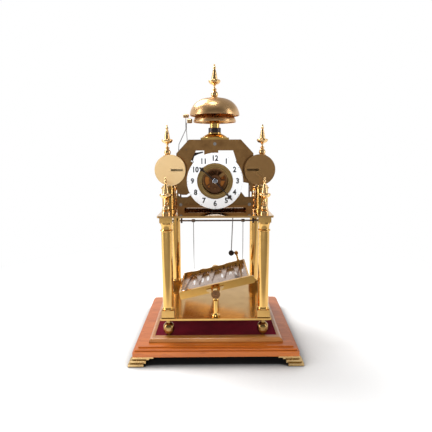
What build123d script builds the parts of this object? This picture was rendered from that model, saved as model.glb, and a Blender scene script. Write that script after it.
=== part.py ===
"""Rolling-ball skeleton clock with two bells on a velvet-topped wooden plinth.

Frame: origin at the centre of the plinth's footprint, +X to the right, the dial facing -Y, +Z up.
All lengths are in millimetres and all angles in degrees.
"""
from build123d import *
from math import acos, atan2, cos, degrees, hypot, radians, sin
import os

# ---------------------------------------------------------------- fits
running_fit = 0.05
gear_air = 0.3
seat_gap = 0.2

# ---------------------------------------------------------------- plinth
foot_height = 12.5
foot_spread = 6.0
foot_wall = 4.0
foot_levels = ((4.1, 17.3), (8.3, 20.3), (10.5, 25.0), (foot_height, 31.5))
case_wall = 10.0
case_steps = ((0.0, 8.1), (2.8, 11.2), (7.9, 13.4))
ledge_top = foot_height + case_steps[-1][1]
ledge_width_x = 22.0
ledge_width_y = 19.7
inner_height = 6.5
inner_top = ledge_top + inner_height
inner_round = 5.5
inner_width_x = 8.1
inner_width_y = 12.7
velvet_margin_x = 9.5
velvet_margin_y = -2.7
velvet_below_rim = 0.4
velvet_top = inner_top - velvet_below_rim

# ---------------------------------------------------------------- clock frame
clock_forward = 5.6
column_x = 74.2
column_y = 74.0
column_radius = 8.4
ball_foot_radius = 8.55
ball_foot_arc = 8.0
ball_disc_radius = 3.4
ball_neck_radius = 3.6
ball_low = 9.4
ball_high = 13.4
ball_foot_height = 28.0
base_margin = 12.1
base_half_x = column_x + base_margin
base_half_y = column_y + base_margin
plate_thickness = 3.0
base_top = velvet_top + ball_foot_height + plate_thickness
block_side = 19.4
block_height = 12.0
capital_side = 19.5
capital_height = 9.0
top_margin_x = 12.0
top_margin_y = 19.0
top_half_x = column_x + top_margin_x
top_half_y = column_y + top_margin_y
top_surface = 224.7
top_underside = top_surface - plate_thickness
capital_bottom = top_underside - capital_height
velvet_half_x = base_half_x + velvet_margin_x
velvet_half_y = base_half_y + velvet_margin_y
inner_half_x = velvet_half_x + inner_width_x
inner_half_y = velvet_half_y + inner_width_y
case_half_x = inner_half_x + ledge_width_x
case_half_y = inner_half_y + ledge_width_y

# ---------------------------------------------------------------- finials
finial_foot_radius = 7.0
finial_foot_height = 5.0
finial_height = 50.8
upper_finial_scale = 0.91
bell_finial_scale = 1.03
upper_finial_drop = 3.4

# ---------------------------------------------------------------- side drums
drum_x = 69.5
drum_y = -40.0
drum_z = top_surface + 65.7
drum_radius = 23.9
drum_front = -52.0
drum_back = -33.0
drum_wall = 1.5
drum_shell_step = 0.4
cover_thickness = 1.6
slot_inner = 1.5
slot_outer = 19.6
slot_height = 3.2
drum_pillar_radius = 10.0

# ---------------------------------------------------------------- movement frame
plate_gap = 27.0
movement_plate = 3.0
plate_outer = plate_gap + movement_plate
shoulder_x = 61.5
crown_x = 41.3
crown_z = top_surface + 112.9
shoulder_z = top_surface + 91.3
sill_z = top_surface + 4.1
foot_x = 50.0
pillar_radius = 3.2
pillar_pin_radius = 1.6
screw_radius = 2.6
screw_height = 1.6
shoulder_pillar_x = 56.5
shoulder_pillar_z = top_surface + 75.3
foot_pillar_x = 55.5
foot_pillar_z = top_surface + 9.3
crown_pillar_z = crown_z - 6.8
pillar_places = (
    (-shoulder_pillar_x, shoulder_pillar_z), (shoulder_pillar_x, shoulder_pillar_z),
    (-foot_pillar_x, foot_pillar_z), (foot_pillar_x, foot_pillar_z), (0.0, crown_pillar_z),
)
dial_window_radius = 18.2
dial_window_hub = 5.0
dial_window_spoke = 2.4
stud_spoke = 4.0
arbor_radius = 1.4
pivot_radius = 0.8

# ---------------------------------------------------------------- trains
train_module = 0.6
centre_x = 0.0
centre_z = top_surface + 48.1
great_teeth = 72
centre_pinion_teeth = 12
centre_teeth = 64
pinion_teeth = 8
third_teeth = 60
pin_wheel_teeth = 56
warning_module = 0.55
warning_teeth = 48
wheel_thickness = 1.5
barrel_radius = 17.3
barrel_wall = 1.2
barrel_angle = -35.0
third_angle = 39.5
crank_angle = -4.3
crank_radius = 10.2
crank_disc_radius = 12.6
crank_disc_y = 52.0
crank_disc_thickness = 2.2
crank_pin_radius = 1.2
strike_pins = 8
strike_pin_circle = 13.0
strike_pin_radius = 0.7
pin_wheel_angle = 130.0
warning_angle = 20.0
fly_angle = 60.0
fly_radius = 8.5
ratchet_radius = 8.0
ratchet_teeth = 16

# ---------------------------------------------------------------- dial and hands
dial_outer = 44.0
dial_inner = 28.2
enamel_thickness = 1.0
backing_outer = 42.0
backing_inner = 20.5
backing_thickness = 1.5
dial_front = -46.5
dial_foot_circle = 36.0
dial_foot_radius = 1.6
motion_module = 0.5
cannon_teeth = 12
minute_wheel_teeth = 36
hour_module = 0.48
minute_pinion_teeth = 10
hour_wheel_teeth = 40
hand_thickness = 0.7
minute_length = 40.5
hour_length = 33.0
minute_angle = 138.0
hour_angle = 311.5
hand_boss_radius = 4.5

# ---------------------------------------------------------------- bells
bridge_half_x = 22.5
bridge_thickness = 3.0
bell_stem_radius = 4.0
stand_height = 11.8
collar_half = 10.3
collar_height = 8.0
big_bell_radius = 40.7
big_bell_rim = crown_z + 39.4
big_bell_height = 28.5
small_bell_radius = 35.0
small_bell_rim = crown_z + 28.9
small_bell_height = 20.0
bell_wall = 1.6

# ---------------------------------------------------------------- hammers
hammer_arbor_radius = 1.2
hammer_wire_radius = 0.55
hammer_tail_y = 22.3
hammer_places = ((-56.5, top_surface + 89.8), (-45.5, top_surface + 97.3))
hammer_wire_y = (-5.0, -10.0)
hammer_tails = ((27.0, -60.2), (32.5, -67.5))
hammer_hub_radius = 2.4
hammer_gap = 1.2
detent_stand_off = 1.0
detent_thickness = 1.4
hammer_head_radius = (2.9, 3.6)
hammer_head_length = (9.5, 8.4)

# ---------------------------------------------------------------- tilting table
pivot_z = 99.0
table_tilt = 13.2
table_half_x = 58.0
table_half_y = 52.0
tray_wall = 2.5
tray_depth = 12.0
tray_floor = 2.0
tray_rim_above_pivot = 10.0
track_thickness = 1.2
guide_thickness = 2.2
ball_radius = 4.2
lane_clearance = 0.3
lane_count = 9
trunnion_radius = 2.0
boss_radius = 7.3
front_post_y = -74.5
rear_post_y = 66.0
boss_length = 7.0
post_radius = 4.3
post_flare = 7.0
rail_height = 12.5
rail_thickness = 3.0
rail_overhang = 7.0

# ---------------------------------------------------------------- connecting rod and release work
drive_post_x = 46.0
drive_post_length = 15.2
rod_y = 56.5
rod_radius = 0.9
rod_knob_radius = 5.0
rod_knob_drop = 2.0
rod_knob_offset = 9.0
release_y = 60.5
release_z = top_underside - 28.7
release_radius = 1.5
release_left = -66.0
release_right = 80.0
wire_left_x = -40.0
wire_right_x = 52.0
wire_bottom_left = pivot_z + 1.0
wire_bottom_right = pivot_z + 13.0
wire_radius = 0.6


# ---------------------------------------------------------------- helpers
def block(x0, x1, y0, y1, z0, z1):
    """Box between two corners."""
    centre = ((x0 + x1) / 2, (y0 + y1) / 2, (z0 + z1) / 2)
    return Pos(*centre) * Box(x1 - x0, y1 - y0, z1 - z0)


def centred_block(half_x, half_y, z0, z1):
    """Box centred on the Z axis between two heights."""
    return block(-half_x, half_x, -half_y, half_y, z0, z1)


def rod_z(radius, x, y, z0, z1):
    """Upright round bar."""
    return Pos(x, y, (z0 + z1) / 2) * Cylinder(radius, z1 - z0)


def rod_along_y(radius, x, z, y0, y1):
    """Round bar running front to back."""
    return Pos(x, (y0 + y1) / 2, z) * Rot(90, 0, 0) * Cylinder(radius, y1 - y0)


def rod_along_x(radius, y, z, x0, x1):
    """Round bar running left to right."""
    return Pos((x0 + x1) / 2, y, z) * Rot(0, 90, 0) * Cylinder(radius, x1 - x0)


def rod_between(radius, start, end):
    """Round bar between two points."""
    path = Line(start, end)
    return extrude(Plane(start, z_dir=path % 0) * Circle(radius), path.length)


def turned(start, *steps):
    """Solid turned about Z: a straight run to each (r, z), an arc through a pair of them."""
    edges = []
    here = start
    for step in steps:
        if isinstance(step[0], tuple):
            middle, end = step
            edges.append(ThreePointArc((here[0], 0, here[1]), (middle[0], 0, middle[1]), (end[0], 0, end[1])))
        else:
            end = step
            edges.append(Line((here[0], 0, here[1]), (end[0], 0, end[1])))
        here = end
    edges.append(Line((here[0], 0, here[1]), (start[0], 0, start[1])))
    return revolve(make_face(Wire(edges)), Axis.Z)


def plate_outline(points, y0, y1):
    """Upright plate between two Y faces with its outline given as (x, z) points."""
    face = make_face(Polyline(*[(x, y0, z) for x, z in points], close=True))
    return extrude(face, amount=y1 - y0, dir=(0, 1, 0))


def at_angle(x, z, distance, angle):
    """Point at a distance and an angle (anticlockwise from +X, seen from the front)."""
    return x + distance * cos(radians(angle)), z + distance * sin(radians(angle))


def corners(half_x, half_y):
    """The four corners of a rectangle centred on the origin."""
    return [(sx * half_x, sy * half_y) for sy in (-1, 1) for sx in (-1, 1)]


def save(name, *solids):
    """Write one node."""
    node = Compound(children=[solid for item in solids for solid in item.solids()])
    export_step(node, os.path.join("parts", name + ".step"))


def save_on_clock(name, *solids):
    """Write one node of the clock itself, which stands a little forward of the plinth's middle."""
    shift = Location((0, -clock_forward, 0))
    save(name, *[item.moved(shift) for item in solids])


# ---------------------------------------------------------------- plinth
def plinth_case():
    """Moulded wooden case: a plain face and two steps up to a flat ledge, hollow below."""
    case = None
    for setback, height in case_steps:
        layer = centred_block(case_half_x - setback, case_half_y - setback, foot_height, foot_height + height)
        case = layer if case is None else case + layer
    hollow_x = case_half_x - case_steps[-1][0] - case_wall
    hollow_y = case_half_y - case_steps[-1][0] - case_wall
    return case - centred_block(hollow_x, hollow_y, foot_height, ledge_top - case_wall)


def plinth_inner_frame():
    """Raised wooden frame round the velvet, with a rounded outer edge."""
    frame = centred_block(inner_half_x, inner_half_y, ledge_top, inner_top)
    frame = fillet(frame.faces().sort_by(Axis.Z)[-1].outer_wire().edges(), inner_round)
    return frame - centred_block(velvet_half_x, velvet_half_y, ledge_top, inner_top)


def velvet_panel():
    """Velvet-covered board lying inside the raised frame."""
    half_x = velvet_half_x - seat_gap
    half_y = velvet_half_y - seat_gap
    return centred_block(half_x, half_y, ledge_top, velvet_top)


def bracket_foot(sign_x, sign_y):
    """One brass bracket foot: two stepped walls that meet at the corner of the plinth."""
    foot = None
    low = 0.0
    for level, (high, reach) in enumerate(foot_levels):
        grow = foot_spread * max(0.0, 1 - level / 2)
        half_x = case_half_x + grow
        half_y = case_half_y + grow
        outer = block(case_half_x - reach, half_x, case_half_y - reach, half_y, low, high)
        layer = outer - block(0, case_half_x - foot_wall, 0, case_half_y - foot_wall, low, high)
        foot = layer if foot is None else foot + layer
        low = high
    if sign_x < 0:
        foot = mirror(foot, Plane.YZ)
    if sign_y < 0:
        foot = mirror(foot, Plane.XZ)
    return foot


# ---------------------------------------------------------------- clock frame
def ball_foot(x, y):
    """Turned ball foot with a short waist, a small disc under it and a neck below the base plate."""
    height = ball_foot_height
    middle = ball_foot_radius - ball_foot_arc
    below = acos((ball_disc_radius - middle) / ball_foot_arc)
    above = acos((ball_neck_radius - middle) / ball_foot_arc)

    def on_arc(z, turn):
        return middle + ball_foot_arc * cos(turn), z + ball_foot_arc * sin(turn)

    foot = turned(
        (0, 0), (ball_disc_radius, 0), on_arc(ball_low, -below),
        (on_arc(ball_low, -below / 2), (ball_foot_radius, ball_low)), (ball_foot_radius, ball_high),
        (on_arc(ball_high, above / 2), on_arc(ball_high, above)),
        (ball_neck_radius, height - 3.4), (6.4, height - 2.0), (6.4, height), (0, height),
    )
    return Pos(x, y, velvet_top) * foot


def base_plate():
    """Brass base plate with softened edges."""
    plate = centred_block(base_half_x, base_half_y, base_top - plate_thickness, base_top)
    return chamfer(plate.edges().filter_by(Axis.Z), 2.0)


def base_block(x, y):
    """Square block under a column."""
    return Pos(x, y) * block(-block_side / 2, block_side / 2, -block_side / 2, block_side / 2,
                             base_top, base_top + block_height)


def column(x, y):
    """Turned column: torus foot, plain shaft, astragal and bell-shaped capital."""
    low = base_top + block_height
    high = capital_bottom
    shaft = column_radius
    solid = turned(
        (0, low), (shaft + 0.8, low), ((shaft + 1.3, low + 1.2), (shaft + 0.8, low + 2.4)),
        (shaft + 0.3, low + 3.0), (shaft, low + 4.2),
        (shaft, high - 14.0), ((shaft + 1.5, high - 12.6), (shaft, high - 11.2)),
        (shaft - 0.5, high - 10.2), ((shaft - 0.1, high - 6.0), (shaft + 0.9, high - 2.6)),
        (shaft + 1.2, high - 2.4), (shaft + 1.2, high), (0, high),
    )
    return Pos(x, y) * solid


def capital(x, y):
    """Square capital block under the top plate."""
    half = capital_side / 2
    return Pos(x, y) * block(-half, half, -half, half, capital_bottom, top_underside)


def top_plate():
    """Top plate with the slot that the connecting rod passes through."""
    plate = centred_block(top_half_x, top_half_y, top_underside, top_surface)
    plate = chamfer(plate.edges().filter_by(Axis.Z), 2.0)
    at_rest = rod_x_at(top_surface)
    slot = block(at_rest - 2.5, at_rest + 7.5, rod_y - 2.5, rod_y + 2.5, top_underside, top_surface)
    return plate - slot


def rod_x_at(z):
    """Where the connecting rod stands at a height, at rest."""
    low_x = drive_pivot()[0] - rod_knob_offset
    low_z = drive_pivot()[1] - rod_knob_drop
    high_x, high_z = crank_pin_place()
    return low_x + (high_x - low_x) * (z - low_z) / (high_z - low_z)


def finial(scale, foot_depth):
    """Turned finial: foot disc, ball, ring, flared stem, cup, tapering spire and two small balls."""
    s = scale
    base = foot_depth
    return turned(
        (0, 0), (finial_foot_radius * s, 0), (finial_foot_radius * s, base * 0.7), (6.2 * s, base),
        (4.0 * s, base), ((5.7 * s, base + 4.6 * s), (3.2 * s, base + 9.0 * s)),
        (2.4 * s, base + 10.4 * s), ((3.7 * s, base + 11.8 * s), (2.2 * s, base + 13.2 * s)),
        ((1.5 * s, base + 16.0 * s), (3.8 * s, base + 19.4 * s)),
        ((8.0 * s, base + 21.4 * s), (9.65 * s, base + 24.4 * s)),
        ((9.2 * s, base + 25.8 * s), (7.0 * s, base + 26.2 * s)),
        (5.05 * s, base + 26.9 * s), ((4.4 * s, base + 30.9 * s), (2.3 * s, base + 41.5 * s)),
        (1.3 * s, base + 42.6 * s), ((2.4 * s, base + 44.8 * s), (1.2 * s, base + 47.0 * s)),
        (0.8 * s, base + 47.6 * s), ((1.5 * s, base + 49.1 * s), (0.6 * s, base + 50.5 * s)),
        (0, base + finial_height * s),
    )


def drum_pillar(side):
    """Turned pillar that carries a side drum above the top plate."""
    radius = drum_pillar_radius
    top = drum_z - drum_radius
    return Pos(side * column_x, drum_y) * turned(
        (0, top_surface), (radius + 1.2, top_surface), (radius + 1.2, top_surface + 3.0),
        (radius, top_surface + 4.0), (radius, top - 6.0),
        ((radius + 1.4, top - 4.6), (radius, top - 3.2)),
        (radius - 0.6, top - 3.0), (radius - 0.6, top - 0.4), (0, top - 0.4),
    )


def side_drum(side):
    """Round drum with its axis front to back, open at the front."""
    x = side * drum_x
    outer = rod_along_y(drum_radius - drum_shell_step, x, drum_z, drum_front + cover_thickness, drum_back)
    inner = rod_along_y(drum_radius - drum_wall, x, drum_z, drum_front + cover_thickness, drum_back - drum_wall)
    return outer - inner


def drum_cover(side):
    """Flat front cover of a drum, with a slot that points at the dial."""
    x = side * drum_x
    cover = rod_along_y(drum_radius, x, drum_z, drum_front, drum_front + cover_thickness)
    near = x - side * slot_inner
    far = x - side * slot_outer
    low = drum_z - slot_height / 2
    slot = block(min(near, far), max(near, far), drum_front, drum_front + cover_thickness, low, low + slot_height)
    return cover - slot


def upper_finial(side):
    """Finial in line with the columns, its foot cut to sit on the round drum."""
    place = Pos(side * column_x, drum_y, drum_z + drum_radius - upper_finial_drop)
    seat = rod_along_y(drum_radius - drum_shell_step, side * drum_x, drum_z, drum_front, drum_back)
    spire = place * finial(upper_finial_scale, 3.0)
    return (spire - seat).solids().sort_by(Axis.Z)[-1:]


# ---------------------------------------------------------------- places in the movement
def barrel_place(side):
    """Axis of the going barrel (side 1) or the strike barrel (side -1)."""
    distance = train_module * (great_teeth + centre_pinion_teeth) / 2
    x, z = at_angle(centre_x, centre_z, distance, barrel_angle)
    return side * x, z


def third_place():
    """Axis of the third arbor."""
    return at_angle(centre_x, centre_z, train_module * (centre_teeth + pinion_teeth) / 2, third_angle)


def crank_place():
    """Axis of the crank arbor."""
    return at_angle(*third_place(), train_module * (third_teeth + pinion_teeth) / 2, crank_angle)


def crank_pin_place():
    """Crank pin, straight above its arbor at rest."""
    x, z = crank_place()
    return x, z + crank_radius


def pin_wheel_place():
    """Axis of the strike train's pin wheel."""
    distance = train_module * (great_teeth + centre_pinion_teeth) / 2
    return at_angle(*barrel_place(-1), distance, pin_wheel_angle)


def warning_place():
    """Axis of the warning arbor."""
    return at_angle(*pin_wheel_place(), train_module * (pin_wheel_teeth + pinion_teeth) / 2, warning_angle)


def fly_place():
    """Axis of the fly arbor."""
    return at_angle(*warning_place(), warning_module * (warning_teeth + pinion_teeth) / 2, fly_angle)


def hammer_place(number):
    """Axis of the hammer arbor for the large bell (0) or the small bell (1)."""
    return hammer_places[number]


def meshing_phase(phase, teeth, angle, mate_teeth):
    """Phase of a gear whose gap meets a tooth of the gear that drives it, seen at an angle from it."""
    return angle + 180 - (phase - angle) * teeth / mate_teeth + 180 / mate_teeth


# ---------------------------------------------------------------- gears
def toothed_disc(teeth, module, place, phase, y0, y1):
    """Spur gear blank; wheels get full points, pinions get slim leaves with rounded tips."""
    pitch = teeth * module / 2
    is_pinion = teeth < 20
    width = (0.16 if is_pinion else 0.2) * 360 / teeth
    addendum = (0.6 if is_pinion else 1.0) * module
    root = pitch - 1.3 * module
    flank = [(root, width), (pitch, width), (pitch + 0.6 * addendum, 0.7 * width), (pitch + addendum, 0.25 * width)]
    outline = []
    for tooth in range(teeth):
        middle = phase + tooth * 360 / teeth
        for radius, half in flank:
            outline.append(at_angle(*place, radius, middle - half))
        for radius, half in reversed(flank):
            outline.append(at_angle(*place, radius, middle + half))
    return plate_outline(outline, y0, y1)


def crossed_wheel(teeth, module, place, phase, y0, y1, bore, spokes=5, rim_width=2.2):
    """Spur wheel with a hub, a rim and straight spokes."""
    root = teeth * module / 2 - 1.3 * module
    rim = root - rim_width
    hub = bore + 2.2
    wheel = toothed_disc(teeth, module, place, phase, y0, y1)
    window = rod_along_y(rim, *place, y0, y1) - rod_along_y(hub, *place, y0, y1)
    for spoke in range(spokes):
        turn = Rot(0, spoke * 360 / spokes, 0)
        window -= Pos(place[0], 0, place[1]) * turn * block(0, rim + 1, y0, y1, -0.9, 0.9)
    return wheel - window - rod_along_y(bore, *place, y0, y1)


def pivoted_arbor(place, front, rear):
    """Steel arbor with a thinner pivot in each plate; a longer end is given by its own Y."""
    shaft_front = front if front < -plate_outer else -plate_gap + seat_gap
    shaft_rear = rear if rear > plate_outer else plate_gap - seat_gap
    arbor = rod_along_y(arbor_radius, *place, shaft_front, shaft_rear)
    if shaft_front > -plate_gap:
        arbor += rod_along_y(pivot_radius, *place, -plate_outer + 0.2, shaft_front)
    if shaft_rear < plate_gap:
        arbor += rod_along_y(pivot_radius, *place, shaft_rear, plate_outer - 0.2)
    return arbor


def between_plates(place):
    """Arbor that ends inside both plates."""
    return pivoted_arbor(place, -plate_gap, plate_gap)


# ---------------------------------------------------------------- movement plates
def plate_blank(y0, y1):
    """Gabled plate with sloping shoulders that stands on two feet."""
    outline = [
        (-shoulder_x, top_surface), (-shoulder_x, shoulder_z), (-crown_x, crown_z), (crown_x, crown_z),
        (shoulder_x, shoulder_z), (shoulder_x, top_surface), (foot_x, top_surface), (foot_x, sill_z),
        (-foot_x, sill_z), (-foot_x, top_surface),
    ]
    return plate_outline(outline, y0, y1)


def plate_windows(y0, y1, rear):
    """The openings of a skeleton plate; the rear plate's upper ones are a little larger."""
    grow = 2.5 if rear else 0.0
    upper_right = [(5.5 - grow, 95.8 + grow), (29.0 + grow, 95.8 + grow), (35.0 + grow, 78.3), (24.0, 69.3 - grow),
                   (5.5 - grow, 75.3)]
    upper_left = [(-17.0 + grow, 95.8 + grow), (-30.0 - grow, 95.8 + grow), (-39.0 - grow, 78.3),
                  (-27.0, 70.8 - grow), (-17.0 + grow, 75.3)]
    if rear:
        lower_right = [(45.0, 42.4), (59.0, 39.6), (59.0, 15.5), (53.0, 15.5), (42.0, 29.7)]
        lower_left = [(-59.0, 22.5), (-45.0, 23.5), (-42.0, 18.5), (-48.0, 15.5), (-59.0, 15.5)]
    else:
        lower_right = [(41.0, 46.5), (53.0, 44.0), (56.0, 41.0), (56.0, 30.5), (59.0, 29.5), (59.0, 21.5),
                       (48.5, 21.5), (38.0, 35.0)]
        lower_left = [(-59.0, 27.2), (-53.0, 25.2), (-46.0, 25.2), (-41.5, 28.2), (-39.5, 24.5), (-45.5, 21.4),
                      (-53.0, 21.0), (-59.0, 23.5)]
    windows = [upper_right, upper_left, lower_right, lower_left]
    return [plate_outline(above_top_plate(points), y0, y1) for points in windows]


def above_top_plate(points):
    """Points of a movement plate, given by their heights above the top plate."""
    return [(x, top_surface + height) for x, height in points]


def dial_window(y0, y1):
    """Round opening behind the dial, left with a hub for the centre arbor and three spokes."""
    window = rod_along_y(dial_window_radius, centre_x, centre_z, y0, y1)
    window -= rod_along_y(dial_window_hub, centre_x, centre_z, y0, y1)
    for angle, half in ((38, dial_window_spoke), (142, dial_window_spoke), (-90, stud_spoke)):
        spoke = block(0, dial_window_radius + 1, y0, y1, -half, half)
        window -= Pos(centre_x, 0, centre_z) * Rot(0, -angle, 0) * spoke
    return window


def arbor_holes(y0, y1, rear):
    """Pivot holes and clearance holes of one plate."""
    holes = []
    for place in (third_place(), pin_wheel_place(), warning_place(), fly_place(), hammer_place(0), hammer_place(1)):
        holes.append(rod_along_y(pivot_radius + running_fit, *place, y0, y1))
    centre_bore = pivot_radius if rear else arbor_radius
    crank_bore = arbor_radius if rear else pivot_radius
    holes.append(rod_along_y(centre_bore + running_fit, centre_x, centre_z, y0, y1))
    holes.append(rod_along_y(crank_bore + running_fit, *crank_place(), y0, y1))
    for side in (-1, 1):
        holes.append(rod_along_y(winding_radius + running_fit, *barrel_place(side), y0, y1))
    return holes


def movement_plate_solid(rear):
    """Front or rear skeleton plate."""
    y0 = plate_gap if rear else -plate_outer
    y1 = y0 + movement_plate
    plate = plate_blank(y0, y1)
    for hole in plate_windows(y0, y1, rear) + arbor_holes(y0, y1, rear):
        plate -= hole
    if not rear:
        plate -= dial_window(y0, y1)
    return plate


def movement_pillar(place):
    """Turned pillar between the plates, swollen in the middle."""
    half = plate_gap
    solid = turned((0, -half), (pillar_radius + 0.8, -half), (pillar_radius + 0.8, 2.0 - half),
                   (pillar_radius - 0.6, 3.0 - half), ((pillar_radius + 0.6, 0), (pillar_radius - 0.6, half - 3.0)),
                   (pillar_radius + 0.8, half - 2.0), (pillar_radius + 0.8, half), (0, half))
    return Pos(place[0], 0, place[1]) * Rot(90, 0, 0) * solid


def plate_screw(place, side):
    """Cheese-head screw on the outside of a plate, with its slot."""
    face = side * plate_outer
    tip = face + side * screw_height
    head = rod_along_y(screw_radius, *place, min(face, tip), max(face, tip))
    low = min(tip, tip - side * 0.6)
    return head - block(place[0] - screw_radius, place[0] + screw_radius, low, low + 0.6,
                        place[1] - 0.35, place[1] + 0.35)


# ---------------------------------------------------------------- barrels and winding
winding_radius = 3.0
great_wheel_width = 2.5
barrel_front = -16.0
barrel_rear = 17.0


def spring_barrel(side):
    """Barrel shell with its great wheel at one end, and the coiled mainspring inside."""
    place = barrel_place(side)
    front, rear = (barrel_front, barrel_rear) if side > 0 else (-barrel_rear, -barrel_front)
    wheel_near, wheel_far = (rear, rear + great_wheel_width) if side > 0 else (front - great_wheel_width, front)
    shell = rod_along_y(barrel_radius, *place, front, rear)
    shell += toothed_disc(great_teeth, train_module, place, 0.0, wheel_near, wheel_far)
    hollow = rod_along_y(barrel_radius - barrel_wall, *place, front + barrel_wall, rear - barrel_wall)
    shell -= hollow
    shell -= rod_along_y(winding_radius + running_fit, *place, front - 5, rear + 5)
    spring = rod_along_y(barrel_radius - barrel_wall - seat_gap, *place, front + 2 * barrel_wall, rear - 2 * barrel_wall)
    spring -= rod_along_y(winding_radius + 3.0, *place, front, rear)
    return shell, spring


def winding_arbor(side):
    """Arbor through a barrel with its ratchet wheel and the winding square behind the rear plate."""
    place = barrel_place(side)
    ratchet_front = plate_outer + 3.0
    ratchet_rear = ratchet_front + 2.0
    arbor = rod_along_y(winding_radius, *place, -plate_outer, ratchet_rear)
    outline = []
    for tooth in range(ratchet_teeth):
        middle = tooth * 360 / ratchet_teeth
        outline.append(at_angle(*place, ratchet_radius, side * middle))
        outline.append(at_angle(*place, ratchet_radius - 1.3, side * (middle + 2.0)))
    arbor += plate_outline(outline, ratchet_front, ratchet_rear)
    square = Pos(place[0], ratchet_rear + 4.5, place[1]) * Box(3.6, 9.0, 3.6)
    return arbor + square


def click(side):
    """Click that rides on the ratchet's tips, on its stud behind the rear plate."""
    x, z = barrel_place(side)
    pivot = (x + side * 14.0, z + 7.0)
    tip = at_angle(x, z, ratchet_radius + gear_air, 90 - side * 62)
    lever_front = plate_outer + 3.0
    lever_rear = lever_front + 2.0
    across = atan2(tip[1] - pivot[1], tip[0] - pivot[0])
    nx, nz = -sin(across), cos(across)
    outline = [
        (pivot[0] + 1.6 * nx, pivot[1] + 1.6 * nz), tip,
        (pivot[0] - 1.6 * nx, pivot[1] - 1.6 * nz),
    ]
    lever = plate_outline(outline, lever_front, lever_rear) + rod_along_y(2.2, *pivot, lever_front, lever_rear)
    return lever + rod_along_y(1.2, *pivot, plate_outer + seat_gap, lever_front)


# ---------------------------------------------------------------- train arbors
def centre_arbor():
    """Centre arbor with its pinion and the centre wheel."""
    place = (centre_x, centre_z)
    phase = meshing_phase(0.0, great_teeth, 180 + barrel_angle, centre_pinion_teeth)
    pinion = toothed_disc(centre_pinion_teeth, train_module, place, phase, barrel_rear - 0.2, barrel_rear + 2.8)
    arbor = pivoted_arbor(place, hand_front - 1.5, plate_gap) + pinion
    wheel = crossed_wheel(centre_teeth, train_module, place, phase, -24.0, -22.5, arbor_radius)
    return arbor, wheel, phase


def third_arbor():
    """Third arbor: pinion at the front, wheel at the back."""
    phase = meshing_phase(centre_arbor()[2], centre_teeth, third_angle, pinion_teeth)
    place = third_place()
    pinion = toothed_disc(pinion_teeth, train_module, place, phase, -24.6, -22.0)
    wheel = crossed_wheel(third_teeth, train_module, place, phase, 22.5, 24.0, arbor_radius)
    return between_plates(place) + pinion, wheel, phase


def crank_arbor():
    """Crank arbor: pinion between the plates, crank disc and pin behind them."""
    phase = meshing_phase(third_arbor()[2], third_teeth, crank_angle, pinion_teeth)
    place = crank_place()
    pinion = toothed_disc(pinion_teeth, train_module, place, phase, 22.0, 24.6)
    disc_rear = crank_disc_y + crank_disc_thickness
    arbor = pivoted_arbor(place, -plate_gap, crank_disc_y) + pinion
    arbor += rod_along_y(crank_disc_radius, *place, crank_disc_y, disc_rear)
    pin = rod_along_y(crank_pin_radius, *crank_pin_place(), disc_rear, rod_y - rod_radius - seat_gap)
    return arbor + pin


def pin_wheel():
    """Pin wheel of the strike train with the pins that lift the hammer tails."""
    place = pin_wheel_place()
    phase = meshing_phase(0.0, great_teeth, pin_wheel_angle, centre_pinion_teeth)
    pinion = toothed_disc(centre_pinion_teeth, train_module, place, phase, -20.0, -16.7)
    wheel = crossed_wheel(pin_wheel_teeth, train_module, place, phase, 19.0, 20.5, arbor_radius, rim_width=4.6)
    for pin in range(strike_pins):
        spot = at_angle(*place, strike_pin_circle, pin * 360 / strike_pins + 12)
        wheel += rod_along_y(strike_pin_radius, *spot, 19.0, 23.6)
    return between_plates(place) + pinion, wheel, phase


def warning_arbor():
    """Warning arbor with its pinion and wheel."""
    place = warning_place()
    phase = meshing_phase(pin_wheel()[2], pin_wheel_teeth, warning_angle, pinion_teeth)
    pinion = toothed_disc(pinion_teeth, train_module, place, phase, 18.7, 20.8)
    wheel = crossed_wheel(warning_teeth, warning_module, place, phase, 24.4, 25.8, arbor_radius)
    return between_plates(place) + pinion, wheel, phase


def fly_arbor():
    """Fly arbor with its pinion and two thin vanes."""
    place = fly_place()
    phase = meshing_phase(warning_arbor()[2], warning_teeth, fly_angle, pinion_teeth)
    pinion = toothed_disc(pinion_teeth, warning_module, place, phase, 24.2, 26.0)
    vanes = Pos(place[0], 0, place[1]) * Rot(0, -28, 0) * block(-fly_radius, fly_radius, -12.0, 16.0, -0.25, 0.25)
    return between_plates(place) + pinion + vanes


def bent_wire(radius, points):
    """Round wire through points, with a ball at each bend."""
    wire = None
    for start, end in zip(points, points[1:]):
        piece = rod_between(radius, start, end)
        wire = piece if wire is None else wire + piece
    for bend in points[1:-1]:
        wire += Pos(*bend) * Sphere(radius)
    return wire


def hammer_head(number):
    """Turned head with rounded ends that rests just clear of its bell."""
    bell_edge = -(big_bell_radius, small_bell_radius)[number] - hammer_gap
    z = (big_bell_rim - 0.6, small_bell_rim + 1.5)[number]
    radius = hammer_head_radius[number]
    head = rod_along_x(radius, hammer_wire_y[number], z, bell_edge - hammer_head_length[number], bell_edge)
    return fillet(head.edges(), 0.45 * radius), bell_edge, z


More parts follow.
